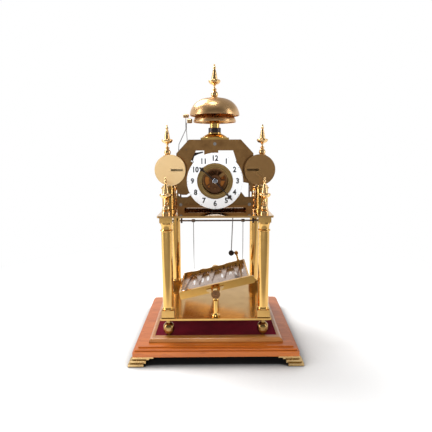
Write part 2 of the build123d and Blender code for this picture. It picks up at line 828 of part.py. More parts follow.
def hammer(number):
    """Bell hammer: arbor, tail by the pin wheel, bent wire and a turned head."""
    x, z = hammer_place(number)
    wire_y = hammer_wire_y[number]
    tail_length, tail_angle = hammer_tails[number]
    arbor = rod_along_y(hammer_arbor_radius, x, z, -plate_gap + seat_gap, plate_gap - seat_gap)
    arbor += rod_along_y(pivot_radius, x, z, -plate_outer + seat_gap, plate_outer - seat_gap)
    hub = rod_along_y(hammer_hub_radius, x, z, wire_y - 2, wire_y + 2)
    tail_hub = rod_along_y(hammer_hub_radius, x, z, hammer_tail_y - 1.1, hammer_tail_y + 1.1)
    tip_x, tip_z = at_angle(x, z, tail_length, tail_angle)
    nx, nz = at_angle(0, 0, 0.9, tail_angle + 90)
    tail = plate_outline([(x + nx, z + nz), (tip_x + nx / 2, tip_z + nz / 2), (tip_x - nx / 2, tip_z - nz / 2),
                          (x - nx, z - nz)], hammer_tail_y - 0.9, hammer_tail_y + 0.9)
    head, bell_edge, head_z = hammer_head(number)
    if number == 0:
        route = [(x, z), (x - 3.3, z + 4.5), (x - 2.5, z + 16.5), (bell_edge - 5.3, crown_z + 17.4),
                 (bell_edge - 5.3, head_z)]
    else:
        route = [(x, z), (x + 0.5, crown_z + 1.4), (bell_edge - 9.8, crown_z + 16.4),
                 (bell_edge - 9.5, crown_z + 26.4), (bell_edge - 6.5, head_z - 0.4)]
    wire = bent_wire(hammer_wire_radius, [(px, wire_y, pz) for px, pz in route])
    return arbor + hub + tail_hub + tail + wire + head


def strike_detent():
    """Sickle-shaped strike detent with its toothed rack end, riding on its own stud."""
    stud = (-38.0, top_surface + 90.3)
    outline = [(-40.0, 88.8), (-37.0, 92.9), (-28.0, 92.7), (-19.0, 94.3), (-18.8, 92.3), (-27.0, 89.9),
               (-33.0, 86.8), (-35.0, 80.3), (-38.0, 79.8), (-38.5, 86.3)]
    rear = -plate_gap + detent_stand_off + detent_thickness
    lever = plate_outline(above_top_plate(outline), rear - detent_thickness, rear)
    lever += rod_along_y(hammer_hub_radius, *stud, rear - detent_thickness, rear)
    return lever + rod_along_y(1.2, *stud, -plate_gap, rear - detent_thickness)


# ---------------------------------------------------------------- dial and hands
hand_front = dial_front - 3.4
hour_hand_front = dial_front - 1.7
cannon_bore = arbor_radius + running_fit
cannon_outer = cannon_bore + 0.6
hour_pipe_bore = cannon_outer + running_fit
hour_pipe_outer = hour_pipe_bore + 0.6
cannon_rear = -33.0
hour_wheel_rear = -38.2


def dial_ring():
    """Enamelled numeral ring."""
    rear = dial_front + enamel_thickness
    ring = rod_along_y(dial_outer, centre_x, centre_z, dial_front, rear)
    return ring - rod_along_y(dial_inner, centre_x, centre_z, dial_front, rear)


def dial_backing():
    """Brass ring behind the numeral ring, with the four feet that stand on the front plate."""
    front = dial_front + enamel_thickness
    rear = front + backing_thickness
    ring = rod_along_y(backing_outer, centre_x, centre_z, front, rear)
    ring -= rod_along_y(backing_inner, centre_x, centre_z, front, rear)
    ring += lip_ring(front)
    for quarter in range(4):
        spot = at_angle(centre_x, centre_z, dial_foot_circle, 50 + 90 * quarter - 10 * (quarter % 2))
        ring += rod_along_y(dial_foot_radius, *spot, rear, -plate_outer)
    return ring


def lip_ring(front):
    """Raised brass lip that fills the numeral ring's inner edge."""
    outer = dial_inner - seat_gap
    lip = rod_along_y(outer, centre_x, centre_z, dial_front - 0.4, front)
    return lip - rod_along_y(outer - 2.2, centre_x, centre_z, dial_front - 0.4, front)


def hand(length, angle, front, bore, root_width):
    """Pierced steel hand: collet, tapering stem, a cross near the end and a point."""
    points = [(0.0, root_width), (0.68, 1.2), (0.71, 3.6), (0.76, 1.8), (0.81, 7.2), (0.86, 7.2), (0.89, 1.8),
              (0.92, 3.0), (1.0, 0.0)]
    left = [(-width / 2, share * length) for share, width in points]
    right = [(width / 2, share * length) for share, width in reversed(points[:-1])]
    turn = radians(-angle)
    outline = []
    for x, z in left + right:
        outline.append((centre_x + x * cos(turn) - z * sin(turn), centre_z + x * sin(turn) + z * cos(turn)))
    blade = plate_outline(outline, front, front + hand_thickness)
    blade += rod_along_y(bore + 1.5, centre_x, centre_z, front, front + hand_thickness)
    return blade - rod_along_y(bore, centre_x, centre_z, front, front + hand_thickness)


def minute_hand():
    """Minute hand with the domed steel boss in front of it."""
    blade = hand(minute_length, minute_angle, hand_front, cannon_outer, 2.4)
    boss = rod_along_y(hand_boss_radius, centre_x, centre_z, hand_front - 1.2, hand_front)
    boss -= rod_along_y(arbor_radius + running_fit, centre_x, centre_z, hand_front - 1.2, hand_front)
    return blade, boss


def hour_hand():
    """Hour hand."""
    return hand(hour_length, hour_angle, hour_hand_front, hour_pipe_outer, 2.8)


def cannon_pinion():
    """Cannon pinion, gripping the centre arbor and carrying the minute hand."""
    tube = rod_along_y(cannon_outer, centre_x, centre_z, hand_front + hand_thickness - 0.7, cannon_rear)
    tube += toothed_disc(cannon_teeth, motion_module, (centre_x, centre_z), 0.0, cannon_rear - 3.0, cannon_rear)
    return tube - rod_along_y(cannon_bore, centre_x, centre_z, hand_front - 1, cannon_rear + 1)


def minute_wheel_place():
    """Stud of the minute wheel, below the centre."""
    return centre_x, centre_z - motion_module * (cannon_teeth + minute_wheel_teeth) / 2


def minute_wheel():
    """Minute wheel and its pinion, turning on a stud on the front plate."""
    place = minute_wheel_place()
    phase = meshing_phase(0.0, cannon_teeth, -90, minute_wheel_teeth)
    wheel = toothed_disc(minute_wheel_teeth, motion_module, place, phase, cannon_rear - 2.4, cannon_rear - 0.8)
    wheel += toothed_disc(minute_pinion_teeth, hour_module, place, phase, hour_wheel_rear - 2.0, cannon_rear - 2.4)
    wheel -= rod_along_y(1.0 + running_fit, *place, hour_wheel_rear - 2.5, cannon_rear)
    return wheel, phase


def minute_wheel_stud():
    """Fixed stud that the minute wheel turns on."""
    return rod_along_y(1.0, *minute_wheel_place(), hour_wheel_rear - 2.2, -plate_outer)


def hour_wheel():
    """Hour wheel with the pipe that carries the hour hand."""
    place = (centre_x, centre_z)
    phase = meshing_phase(minute_wheel()[1], minute_pinion_teeth, 90, hour_wheel_teeth)
    wheel = toothed_disc(hour_wheel_teeth, hour_module, place, phase, hour_wheel_rear - 1.6, hour_wheel_rear)
    wheel += rod_along_y(hour_pipe_outer, *place, hour_hand_front, hour_wheel_rear)
    return wheel - rod_along_y(hour_pipe_bore, *place, hour_hand_front - 1, hour_wheel_rear + 1)


# ---------------------------------------------------------------- bells
bridge_top = crown_z + bridge_thickness
collar_bottom = bridge_top + 8.8
collar_top = collar_bottom + collar_height
sleeve_top = small_bell_rim + 2.5
sleeve_radius = 7.85
big_bell_top = big_bell_rim + big_bell_height
small_bell_top = small_bell_rim + small_bell_height
spacer_radius = 5.5


def bell_bridge():
    """Plate across the tops of both movement plates."""
    return block(-bridge_half_x, bridge_half_x, -plate_outer, plate_outer, crown_z, bridge_top)


def bell_stand():
    """Domed foot, sleeve and rod that carry both bells."""
    low = bridge_top
    return turned(
        (0, low), (21.0, low), (21.0, low + 1.6), ((17.5, low + 4.4), (12.5, collar_bottom - 1.8)),
        (11.0, collar_bottom - 1.4), (11.0, collar_bottom), (bell_stem_radius, collar_bottom),
        (bell_stem_radius, collar_top), (sleeve_radius, collar_top), (sleeve_radius, sleeve_top),
        (spacer_radius, sleeve_top),
        (spacer_radius, small_bell_top - bell_wall), (bell_stem_radius, small_bell_top - bell_wall),
        (bell_stem_radius, big_bell_top - 0.4), (0, big_bell_top - 0.4),
    )


def bell_collar():
    """Dark locking collar on the stand, and the spacer tube between the bells."""
    bore = bell_stem_radius + running_fit
    collar = rod_z(collar_half, 0, 0, collar_bottom, collar_top) - rod_z(bore, 0, 0, collar_bottom, collar_top)
    spacer_top = big_bell_top - bell_wall
    spacer = rod_z(spacer_radius, 0, 0, small_bell_top, spacer_top) - rod_z(bore, 0, 0, small_bell_top, spacer_top)
    return collar, spacer


def bell(radius, rim, height):
    """Thin turned bell with a rounded shoulder and a flat crown bored for the rod."""
    top = rim + height
    inner = radius - bell_wall
    bore = bell_stem_radius + running_fit
    return turned(
        (inner, rim), (radius, rim), (radius, rim + 2.0),
        ((radius * 0.80, rim + height * 0.66), (radius * 0.36, top - 1.0)), (radius * 0.2, top), (bore, top),
        (bore, top - bell_wall), (radius * 0.2, top - bell_wall),
        (radius * 0.34, top - 1.2 - bell_wall),
        ((radius * 0.80 - bell_wall, rim + height * 0.66 - bell_wall * 0.8), (inner, rim + 2.0)),
    )


# ---------------------------------------------------------------- tilting table, built level with its pivot at the origin
table_front = -55.0
table_rear = 51.0
tray_bottom = tray_rim_above_pivot - tray_depth
floor_top = tray_bottom + tray_floor
track_top = floor_top + track_thickness
rail_front = table_front - rail_thickness
lane_half = ball_radius + lane_clearance


def on_table(solid):
    """Tilt a solid built level about the pivot and lift it to the pivot's height."""
    return Pos(0, 0, pivot_z) * Rot(0, -table_tilt, 0) * solid


def table_tray():
    """Brass tray: floor, four walls and the front rail, with a scalloped rear wall."""
    inner_x = table_half_x - tray_wall
    tray = block(-table_half_x, table_half_x, table_front, table_rear, tray_bottom, tray_rim_above_pivot)
    tray -= block(-inner_x, inner_x, table_front + tray_wall, table_rear - tray_wall, floor_top,
                  tray_rim_above_pivot + 1)
    for x in (-34.0, -11.0, 14.0):
        tray -= rod_along_y(36.0, x, tray_rim_above_pivot + 34.6, table_rear - tray_wall - 1, table_rear + 1)
    rail = block(-table_half_x, table_half_x + rail_overhang, rail_front, table_front,
                 tray_rim_above_pivot - rail_height, tray_rim_above_pivot)
    rail = chamfer(rail.edges().filter_by(Axis.Y).sort_by(Axis.X)[-2:], 2.4)
    return tray + rail


def lane_points():
    """Turning points of the zigzag, from the front left corner to the right."""
    reach_x = table_half_x - tray_wall - lane_half
    low_y = table_front + tray_wall + lane_half
    high_y = table_rear - tray_wall - lane_half
    points = []
    for turn in range(lane_count + 1):
        x = -reach_x + 2 * reach_x * turn / lane_count
        points.append((x, high_y if turn % 2 else low_y))
    return points


def track_plate():
    """Plate on the tray's floor that the ball rolls on."""
    half = table_half_x - tray_wall - seat_gap
    return block(-half, half, table_front + tray_wall + seat_gap, table_rear - tray_wall - seat_gap, floor_top,
                 track_top)


def lane_guide():
    """Guide plate with the zigzag lane cut through it."""
    half = table_half_x - tray_wall - seat_gap
    guide = block(-half, half, table_front + tray_wall + seat_gap, table_rear - tray_wall - seat_gap, track_top,
                  track_top + guide_thickness)
    points = lane_points()
    middle = track_top + guide_thickness / 2
    cut_depth = guide_thickness + 1
    for (x0, y0), (x1, y1) in zip(points, points[1:]):
        angle = degrees(atan2(y1 - y0, x1 - x0))
        place = Pos((x0 + x1) / 2, (y0 + y1) / 2, middle) * Rot(0, 0, angle)
        guide -= place * Box(hypot(x1 - x0, y1 - y0), 2 * lane_half, cut_depth)
    for x, y in points:
        guide -= Pos(x, y, middle) * Cylinder(lane_half, cut_depth)
    return guide


def table_trunnions():
    """Winged bracket and trunnion pin on the front rail, and a plain pair at the back."""
    wings = [(-14.0, 2.0), (-14.0, 5.0), (14.0, 5.0), (14.0, 2.0), (6.5, -3.5), (4.5, -6.0), (-4.5, -6.0),
             (-6.5, -3.5)]
    boss_end = front_post_y + boss_length / 2 + gear_air
    front = plate_outline(wings, rail_front - 2.5, rail_front)
    front += rod_along_y(5.0, 0, 0, boss_end, rail_front - 2.5)
    front += rod_along_y(trunnion_radius, 0, 0, front_post_y - boss_length / 2 - 0.4, boss_end)
    rear_end = rear_post_y - boss_length / 2 - gear_air
    rear = plate_outline(wings, table_rear, table_rear + 2.5)
    rear += rod_along_y(5.0, 0, 0, table_rear + 2.5, rear_end)
    rear += rod_along_y(trunnion_radius, 0, 0, rear_end, rear_post_y + boss_length / 2 + 0.4)
    return front, rear


def pivot_post(y):
    """Turned post on the base plate with a bored boss for a trunnion."""
    post = turned((0, base_top), (post_flare, base_top), (post_flare, base_top + 1.6),
                  ((post_radius + 0.6, base_top + 3.4), (post_radius, base_top + 6.5)),
                  (post_radius, pivot_z - 10.5), (post_radius + 0.8, pivot_z - 9.0), (post_radius, pivot_z - 7.5),
                  (post_radius, pivot_z - boss_radius + 1.2), (0, pivot_z - boss_radius + 1.2))
    boss = rod_along_y(boss_radius, 0, pivot_z, y - boss_length / 2, y + boss_length / 2)
    bore = rod_along_y(trunnion_radius + running_fit, 0, pivot_z, y - boss_length, y + boss_length)
    return Pos(0, y) * post + boss - bore


def steel_ball():
    """Steel ball at the start of the lane."""
    x, y = lane_points()[0]
    return Pos(x, y, track_top + ball_radius + running_fit) * Sphere(ball_radius)


# ---------------------------------------------------------------- drive from the table to the crank
post_y = table_rear - tray_wall / 2
drive_pin_radius = 1.0
link_front = 52.8
link_rear = 54.5
knob_rear = 58.5
drive_knob_front = 46.5
drive_knob_rear = 52.5


def drive_pivot():
    """Pivot at the top of the drive post, in the clock's frame."""
    height = tray_rim_above_pivot + drive_post_length
    tilt = radians(table_tilt)
    x = drive_post_x * cos(tilt) - height * sin(tilt)
    z = drive_post_x * sin(tilt) + height * cos(tilt)
    return x, pivot_z + z


def drive_post():
    """Post on the rear wall with a steel knob and the pin that drives the connecting rod."""
    top = tray_rim_above_pivot + drive_post_length
    post = turned((0, tray_rim_above_pivot), (2.6, tray_rim_above_pivot), (2.6, tray_rim_above_pivot + 1.2),
                  (1.7, tray_rim_above_pivot + 2.2), (1.7, top - 2.0), (0, top - 2.0))
    post = Pos(drive_post_x, post_y) * post
    knob = rod_along_y(3.5, drive_post_x, top, drive_knob_front, drive_knob_rear)
    pin = rod_along_y(drive_pin_radius, drive_post_x, top, drive_knob_rear, link_rear + 0.3)
    head = rod_along_y(1.8, drive_post_x, top, link_rear + 0.3, link_rear + 1.0)
    return post + knob + pin + head


def connecting_rod():
    """Straight steel rod with an eye by the crank pin."""
    x0, z0 = knob_place()
    x1, z1 = crank_pin_place()
    length = hypot(x1 - x0, z1 - z0)
    start = rod_knob_radius / length
    end = 1 - 2.4 / length
    low = (x0 + (x1 - x0) * start, rod_y, z0 + (z1 - z0) * start)
    high = (x0 + (x1 - x0) * end, rod_y, z0 + (z1 - z0) * end)
    eye = rod_along_y(3.2, x1, z1, rod_y - rod_radius, rod_y + rod_radius)
    eye -= rod_along_y(crank_pin_radius + running_fit, x1, z1, rod_y - 2, rod_y + 2)
    return rod_between(rod_radius, low, high) + eye


def knob_place():
    """Centre of the knob at the rod's lower end."""
    x, z = drive_pivot()
    return x - rod_knob_offset, z - rod_knob_drop


def rod_knob():
    """Knurled knob at the rod's foot, with the short link that takes it to the drive post."""
    x, z = knob_place()
    knob = rod_along_y(rod_knob_radius, x, z, link_rear, knob_rear)
    for ridge in range(24):
        spot = at_angle(x, z, rod_knob_radius, ridge * 15 + 7.5)
        knob -= rod_along_y(0.3, *spot, link_rear, knob_rear)
    px, pz = drive_pivot()
    tilt = degrees(atan2(pz - z, px - x))
    length = hypot(px - x, pz - z)
    link = Pos((x + px) / 2, (link_front + link_rear) / 2, (z + pz) / 2) * Rot(0, -tilt, 0) * Box(
        length, link_rear - link_front, 3.0)
    link += rod_along_y(2.6, px, pz, link_front, link_rear) + rod_along_y(2.6, x, z, link_front, link_rear)
    link -= rod_along_y(drive_pin_radius + running_fit, px, pz, link_front - 1, link_rear + 1)
    return knob + link


# ---------------------------------------------------------------- release work
def release_arbor():
    """Steel arbor across the back with the two collars that hold the trip wires."""
    arbor = rod_along_x(release_radius, release_y, release_z, release_left, release_right)
    for x in (wire_left_x, wire_right_x):
        arbor += rod_along_x(2.9, release_y, release_z, x - 3.0, x + 3.0)
    return arbor


def trip_wire(x, bottom):
    """Straight wire hanging from a collar."""
    return rod_z(wire_radius, x, release_y, bottom, release_z - 2.9)


def release_cock(x):
    """Arm under the top plate that carries the release arbor."""
    arm = block(x - 1.5, x + 1.5, release_y - 3.5, release_y + 3.5, release_z - 4.0, top_underside)
    return arm - rod_along_x(release_radius + running_fit, release_y, release_z, x - 5, x + 5)


# ---------------------------------------------------------------- the nodes
def build_plinth():
    """Write the plinth's nodes."""
    save("plinth_case", plinth_case())
    save("plinth_inner_frame", plinth_inner_frame())
    save("velvet_panel", velvet_panel())
    save("bracket_feet", *[bracket_foot(sx, sy) for sy in (-1, 1) for sx in (-1, 1)])


def build_frame():
    """Write the open frame of columns and plates, and the side drums."""
    spots = corners(column_x, column_y)
    save_on_clock("ball_feet", *[ball_foot(x, y) for x, y in spots])
    save_on_clock("base_plate", base_plate())
    save_on_clock("column_base_blocks", *[base_block(x, y) for x, y in spots])
    save_on_clock("columns", *[column(x, y) for x, y in spots])
    save_on_clock("column_capitals", *[capital(x, y) for x, y in spots])
    save_on_clock("top_plate", top_plate())
    finials = [Pos(x, y, top_surface) * finial(1.0, finial_foot_height) for x, y in spots]
    save_on_clock("corner_finials", *finials)
    save_on_clock("drum_pillars", drum_pillar(-1), drum_pillar(1))
    for side, name in ((-1, "left"), (1, "right")):
        save_on_clock("side_drum_" + name, side_drum(side))
        save_on_clock("drum_cover_" + name, drum_cover(side))
    save_on_clock("upper_finials", *upper_finial(-1), *upper_finial(1))


def build_movement():
    """Write the movement's plates and both trains."""
    save_on_clock("front_plate", movement_plate_solid(False), minute_wheel_stud())
    save_on_clock("rear_plate", movement_plate_solid(True))
    save_on_clock("movement_pillars", *[movement_pillar(place) for place in pillar_places])
    screws = [plate_screw(place, side) for place in pillar_places for side in (-1, 1)]
    save_on_clock("movement_screws", *screws)
    for side, name in ((1, "going"), (-1, "strike")):
        save_on_clock(name + "_barrel", *spring_barrel(side))
        save_on_clock(name + "_winding_arbor", winding_arbor(side))
        save_on_clock(name + "_click", click(side))
    save_on_clock("centre_arbor", *centre_arbor()[:2])
    save_on_clock("third_arbor", *third_arbor()[:2])
    save_on_clock("crank_arbor", crank_arbor())
    save_on_clock("pin_wheel", *pin_wheel()[:2])
    save_on_clock("warning_wheel", *warning_arbor()[:2])
    save_on_clock("fly", fly_arbor())
    save_on_clock("hammer_large_bell", hammer(0))
    save_on_clock("hammer_small_bell", hammer(1))
    save_on_clock("strike_detent", strike_detent())


def build_dial():
    """Write the dial, the hands and the motion work."""
    save_on_clock("dial_ring", dial_ring())
    save_on_clock("dial_backing", dial_backing())
    save_on_clock("minute_hand", *minute_hand())
    save_on_clock("hour_hand", hour_hand())
    save_on_clock("cannon_pinion", cannon_pinion())
    save_on_clock("minute_wheel", minute_wheel()[0])
    save_on_clock("hour_wheel", hour_wheel())


def build_bells():
    """Write the bells and what carries them."""
    save_on_clock("bell_bridge", bell_bridge())
    save_on_clock("bell_stand", bell_stand())
    save_on_clock("bell_collar", *bell_collar())
    save_on_clock("bell_small", bell(small_bell_radius, small_bell_rim, small_bell_height))
    save_on_clock("bell_large", bell(big_bell_radius, big_bell_rim, big_bell_height))
    save_on_clock("bell_finial", Pos(0, 0, big_bell_top) * finial(bell_finial_scale, 1.0))


def build_table():
    """Write the tilting table and its drive."""
    save_on_clock("table_tray", on_table(table_tray()))
    save_on_clock("track_plate", on_table(track_plate()))
    save_on_clock("lane_guide", on_table(lane_guide()))
    save_on_clock("table_trunnions", *[on_table(solid) for solid in table_trunnions()])
    save_on_clock("drive_post", on_table(drive_post()))
    save_on_clock("steel_ball", on_table(steel_ball()))
    save_on_clock("pivot_posts", pivot_post(front_post_y), pivot_post(rear_post_y))
    save_on_clock("connecting_rod", connecting_rod())
    save_on_clock("rod_knob", rod_knob())
    wires = [trip_wire(wire_left_x, wire_bottom_left), trip_wire(wire_right_x, wire_bottom_right)]
    save_on_clock("release_arbor", release_arbor(), *wires)
    save_on_clock("release_cocks", release_cock(release_left + 4), release_cock(release_right - 9))


def main():
    """Build the whole clock."""
    os.makedirs("parts", exist_ok=True)
    build_plinth()
    build_frame()
    build_movement()
    build_dial()
    build_bells()
    build_table()


main()
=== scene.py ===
"""Looks of a rolling-ball skeleton clock: finishes, numerals, lane trim, studio and camera.

Lengths in the classes are millimetres and become metres with MM. The frame is the part's own:
origin at the middle of the footprint, +X right, the dial facing -Y, +Z up.
"""
import logging
import math
from collections.abc import Iterable, Mapping, Sequence
from dataclasses import dataclass
from enum import Enum

import bpy
from mathutils import Matrix, Vector

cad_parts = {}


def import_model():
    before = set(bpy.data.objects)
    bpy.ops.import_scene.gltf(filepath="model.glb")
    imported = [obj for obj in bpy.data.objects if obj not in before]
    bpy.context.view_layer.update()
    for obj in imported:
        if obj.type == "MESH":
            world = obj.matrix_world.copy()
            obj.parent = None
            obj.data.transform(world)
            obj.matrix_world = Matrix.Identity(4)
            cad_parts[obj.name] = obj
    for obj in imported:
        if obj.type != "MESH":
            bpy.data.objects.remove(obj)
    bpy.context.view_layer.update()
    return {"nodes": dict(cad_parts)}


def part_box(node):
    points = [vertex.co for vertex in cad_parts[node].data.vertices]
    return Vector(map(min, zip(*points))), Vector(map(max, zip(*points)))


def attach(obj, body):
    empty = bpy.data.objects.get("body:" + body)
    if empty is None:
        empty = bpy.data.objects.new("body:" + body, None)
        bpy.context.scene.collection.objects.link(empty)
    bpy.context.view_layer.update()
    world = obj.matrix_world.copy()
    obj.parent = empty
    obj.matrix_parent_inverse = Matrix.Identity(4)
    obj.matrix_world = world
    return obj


MM = 0.001
ROOT_BODY = "clock_frame"
MIX_SHARE, MIX_UNDER, MIX_OVER, MIX_RESULT = 0, 6, 7, 2
FULL = (0.0, 1.0)
MINUTES = 60
MINUTES_PER_NUMERAL = 5
FACING = 0.9
log = logging.getLogger("clock")

Socket = bpy.types.NodeSocket
Node = bpy.types.Node
Tree = bpy.types.NodeTree
Material = bpy.types.Material
Piece = bpy.types.Object
Colour = tuple[float, float, float]
Span = tuple[float, float]
Value = Socket | float | Sequence[float]


# ---------------------------------------------------------------- node helpers
def plug(tree: Tree, value: Value, socket: Socket) -> None:
    """Link another socket to an input, or set the input to a fixed value.

    Args:
        tree: Node tree that holds both.
        value: Socket to link, number, vector or colour.
        socket: The input.
    """
    if isinstance(value, bpy.types.NodeSocket):
        tree.links.new(value, socket)
    elif socket.type == "RGBA":
        socket.default_value = (*value[:3], 1.0)
    else:
        socket.default_value = value


def fill(tree: Tree, node: Node, values: Mapping[str, Value]) -> None:
    """Link or set several inputs of a node by their names.

    Args:
        tree: Node tree that holds the node.
        node: The node.
        values: Name of each input and what goes into it.
    """
    for label, value in values.items():
        plug(tree, value, node.inputs[label])


def calculate(tree: Tree, operation: str, *values: Value) -> Socket:
    """Work out a number with a math node.

    Args:
        tree: Node tree to add it to.
        operation: What the node does, such as MULTIPLY.
        values: What it works on.

    Returns:
        The result.
    """
    node = tree.nodes.new("ShaderNodeMath")
    node.operation = operation
    for value, socket in zip(values, node.inputs):
        plug(tree, value, socket)
    return node.outputs["Value"]


def calculate_vector(tree: Tree, operation: str, *values: Value) -> Socket:
    """Work out a vector, or its length, with a vector math node.

    Args:
        tree: Node tree to add it to.
        operation: What the node does, such as SUBTRACT or LENGTH.
        values: What it works on.

    Returns:
        The result.
    """
    node = tree.nodes.new("ShaderNodeVectorMath")
    node.operation = operation
    for value, socket in zip(values, node.inputs):
        plug(tree, value, socket)
    return node.outputs["Value" if operation == "LENGTH" else "Vector"]


def spread(
    tree: Tree, value: Socket, limits: Span, results: tuple[Value, Value], soft: bool = False
) -> Socket:
    """Stretch a value from one span to another, and hold it at the ends.

    Args:
        tree: Node tree to add it to.
        value: The value.
        limits: Where it starts and ends.
        results: What those ends become.
        soft: Whether it eases in and out.

    Returns:
        The stretched value.
    """
    node = tree.nodes.new("ShaderNodeMapRange")
    if soft:
        node.interpolation_type = "SMOOTHSTEP"
    fill(tree, node, {"Value": value, "From Min": limits[0], "From Max": limits[1],
                      "To Min": results[0], "To Max": results[1]})
    return node.outputs["Result"]


def mix_level(tree: Tree, share: Value, under: Value, over: Value) -> Socket:
    """Mix two numbers.

    Args:
        tree: Node tree to add it to.
        share: Share of the second number.
        under: First number.
        over: Second number.

    Returns:
        The mixed number.
    """
    node = tree.nodes.new("ShaderNodeMix")
    fill(tree, node, {"Factor": share, "A": under, "B": over})
    return node.outputs["Result"]


def mix_colour(tree: Tree, share: Value, under: Value, over: Value, blend: str = "MIX") -> Socket:
    """Lay one colour over another.

    Args:
        tree: Node tree to add it to.
        share: Share of the upper colour.
        under: Lower colour.
        over: Upper colour.
        blend: How they blend.

    Returns:
        The mixed colour.
    """
    node = tree.nodes.new("ShaderNodeMix")
    node.data_type = "RGBA"
    node.blend_type = blend
    for value, index in ((share, MIX_SHARE), (under, MIX_UNDER), (over, MIX_OVER)):
        plug(tree, value, node.inputs[index])
    return node.outputs[MIX_RESULT]


def object_place(tree: Tree) -> Socket:
    """Place of a point on the clock, in metres."""
    return tree.nodes.new("ShaderNodeTexCoord").outputs["Object"]


def axis_of(tree: Tree, place: Socket, axis: str) -> Socket:
    """Split one axis off a place.

    Args:
        tree: Node tree to add it to.
        place: The place.
        axis: X, Y or Z.

    Returns:
        The place along that axis.
    """
    axes = tree.nodes.new("ShaderNodeSeparateXYZ")
    tree.links.new(place, axes.inputs["Vector"])
    return axes.outputs[axis]


def add_noise(
    tree: Tree, place: Socket, scale: Value, detail: float, roughness: float, distortion: float = 0.0
) -> Socket:
    """Make a noise pattern.

    Args:
        tree: Node tree to add it to.
        place: Where the pattern is read.
        scale: Its size, in cycles per metre.
        detail: How many finer patterns lie on it.
        roughness: How strong those are.
        distortion: How far it swirls.

    Returns:
        The pattern's value.
    """
    node = tree.nodes.new("ShaderNodeTexNoise")
    fill(tree, node, {"Vector": place, "Scale": scale, "Detail": detail,
                      "Roughness": roughness, "Distortion": distortion})
    return node.outputs["Fac"]


def add_bump(tree: Tree, height: Socket, strength: float, distance: float) -> None:
    """Feed a height into the shader's normal through a bump node.

    Args:
        tree: The material's node tree.
        height: The height.
        strength: How much of it shows.
        distance: Its depth, in millimetres.
    """
    bump = tree.nodes.new("ShaderNodeBump")
    fill(tree, bump, {"Strength": strength, "Distance": distance * MM, "Height": height})
    tree.links.new(bump.outputs["Normal"], tree.nodes["Principled BSDF"].inputs["Normal"])


# ---------------------------------------------------------------- shared node groups
class SocketKind(Enum):
    """What a group's socket carries."""

    COLOUR = "NodeSocketColor"
    NUMBER = "NodeSocketFloat"
    VECTOR = "NodeSocketVector"


def new_group(
    name: str, inputs: Mapping[str, SocketKind], outputs: Mapping[str, SocketKind]
) -> tuple[Tree, Mapping[str, Socket], Node]:
    """Make an empty shader node group with named sockets.

    Args:
        name: Name of the group.
        inputs: Name of each input and what it carries.
        outputs: Name of each output and what it carries.

    Returns:
        The group, the sockets that bring its inputs, and the node that takes its outputs.
    """
    group = bpy.data.node_groups.new(name, "ShaderNodeTree")
    for sockets, way in ((inputs, "INPUT"), (outputs, "OUTPUT")):
        for label, kind in sockets.items():
            group.interface.new_socket(name=label, in_out=way, socket_type=kind.value)
    start = group.nodes.new("NodeGroupInput")
    end = group.nodes.new("NodeGroupOutput")
    return group, start.outputs, end


def tarnish_group() -> Tree:
    """Make the slow tone changes and fine polishing lines of metal.

    Returns:
        The group.
    """
    group, given, end = new_group(
        "tarnish",
        {"Bright": SocketKind.COLOUR, "Deep": SocketKind.COLOUR, "Depth": SocketKind.NUMBER,
         "Scale": SocketKind.NUMBER, "Rough Low": SocketKind.NUMBER, "Rough High": SocketKind.NUMBER},
        {"Color": SocketKind.COLOUR, "Roughness": SocketKind.NUMBER, "Height": SocketKind.NUMBER},
    )
    toned_span, rough_span = (0.35, 0.7), (0.3, 0.75)
    lines_per_metre = 900.0
    place = object_place(group)
    cloud = add_noise(group, place, given["Scale"], detail=4.0, roughness=0.6)
    amount = calculate(group, "MULTIPLY", spread(group, cloud, toned_span, FULL), given["Depth"])
    fill(group, end, {
        "Color": mix_colour(group, amount, given["Bright"], given["Deep"]),
        "Roughness": spread(group, cloud, rough_span, (given["Rough Low"], given["Rough High"])),
        "Height": add_noise(group, place, lines_per_metre, detail=2.0, roughness=0.5),
    })
    return group


def wood_group() -> Tree:
    """Make straight wood grain with darker pores, running along the board.

    Returns:
        The group.
    """
    group, given, end = new_group(
        "wood_grain",
        {"Light": SocketKind.COLOUR, "Dark": SocketKind.COLOUR, "Length": SocketKind.VECTOR},
        {"Color": SocketKind.COLOUR, "Roughness": SocketKind.NUMBER, "Height": SocketKind.NUMBER},
    )
    figure_span, pore_span = (0.3, 0.7), (0.58, 0.72)
    pore_depth, pore_tint = (0.0, 0.55), (0.45, 0.28, 0.18)
    pores_per_figure = 7.0
    gloss = (0.28, 0.42)
    stretched = calculate_vector(group, "MULTIPLY", object_place(group), given["Length"])
    figure = add_noise(group, stretched, 1.0, detail=5.0, roughness=0.65, distortion=0.8)
    pores = add_noise(group, stretched, pores_per_figure, detail=2.0, roughness=0.5)
    tone = mix_colour(group, spread(group, figure, figure_span, FULL), given["Light"], given["Dark"])
    fill(group, end, {
        "Color": mix_colour(group, spread(group, pores, pore_span, pore_depth), tone, pore_tint, "MULTIPLY"),
        "Roughness": spread(group, figure, figure_span, gloss),
        "Height": pores,
    })
    return group


def pile_group() -> Tree:
    """Make short cloth pile: tiny tufts, with slow changes of tone where the pile leans.

    Returns:
        The group.
    """
    group, given, end = new_group(
        "cloth_pile",
        {"Light": SocketKind.COLOUR, "Dark": SocketKind.COLOUR},
        {"Color": SocketKind.COLOUR, "Height": SocketKind.NUMBER},
    )
    leans_per_metre, tufts_per_metre = 25.0, 1400.0
    tone_span = (0.12, 0.38)
    place = object_place(group)
    lean = add_noise(group, place, leans_per_metre, detail=3.0, roughness=0.6)
    tuft = add_noise(group, place, tufts_per_metre, detail=2.0, roughness=0.7)
    tone = spread(group, calculate(group, "MULTIPLY", lean, tuft), tone_span, FULL)
    fill(group, end, {"Color": mix_colour(group, tone, given["Dark"], given["Light"]), "Height": tuft})
    return group


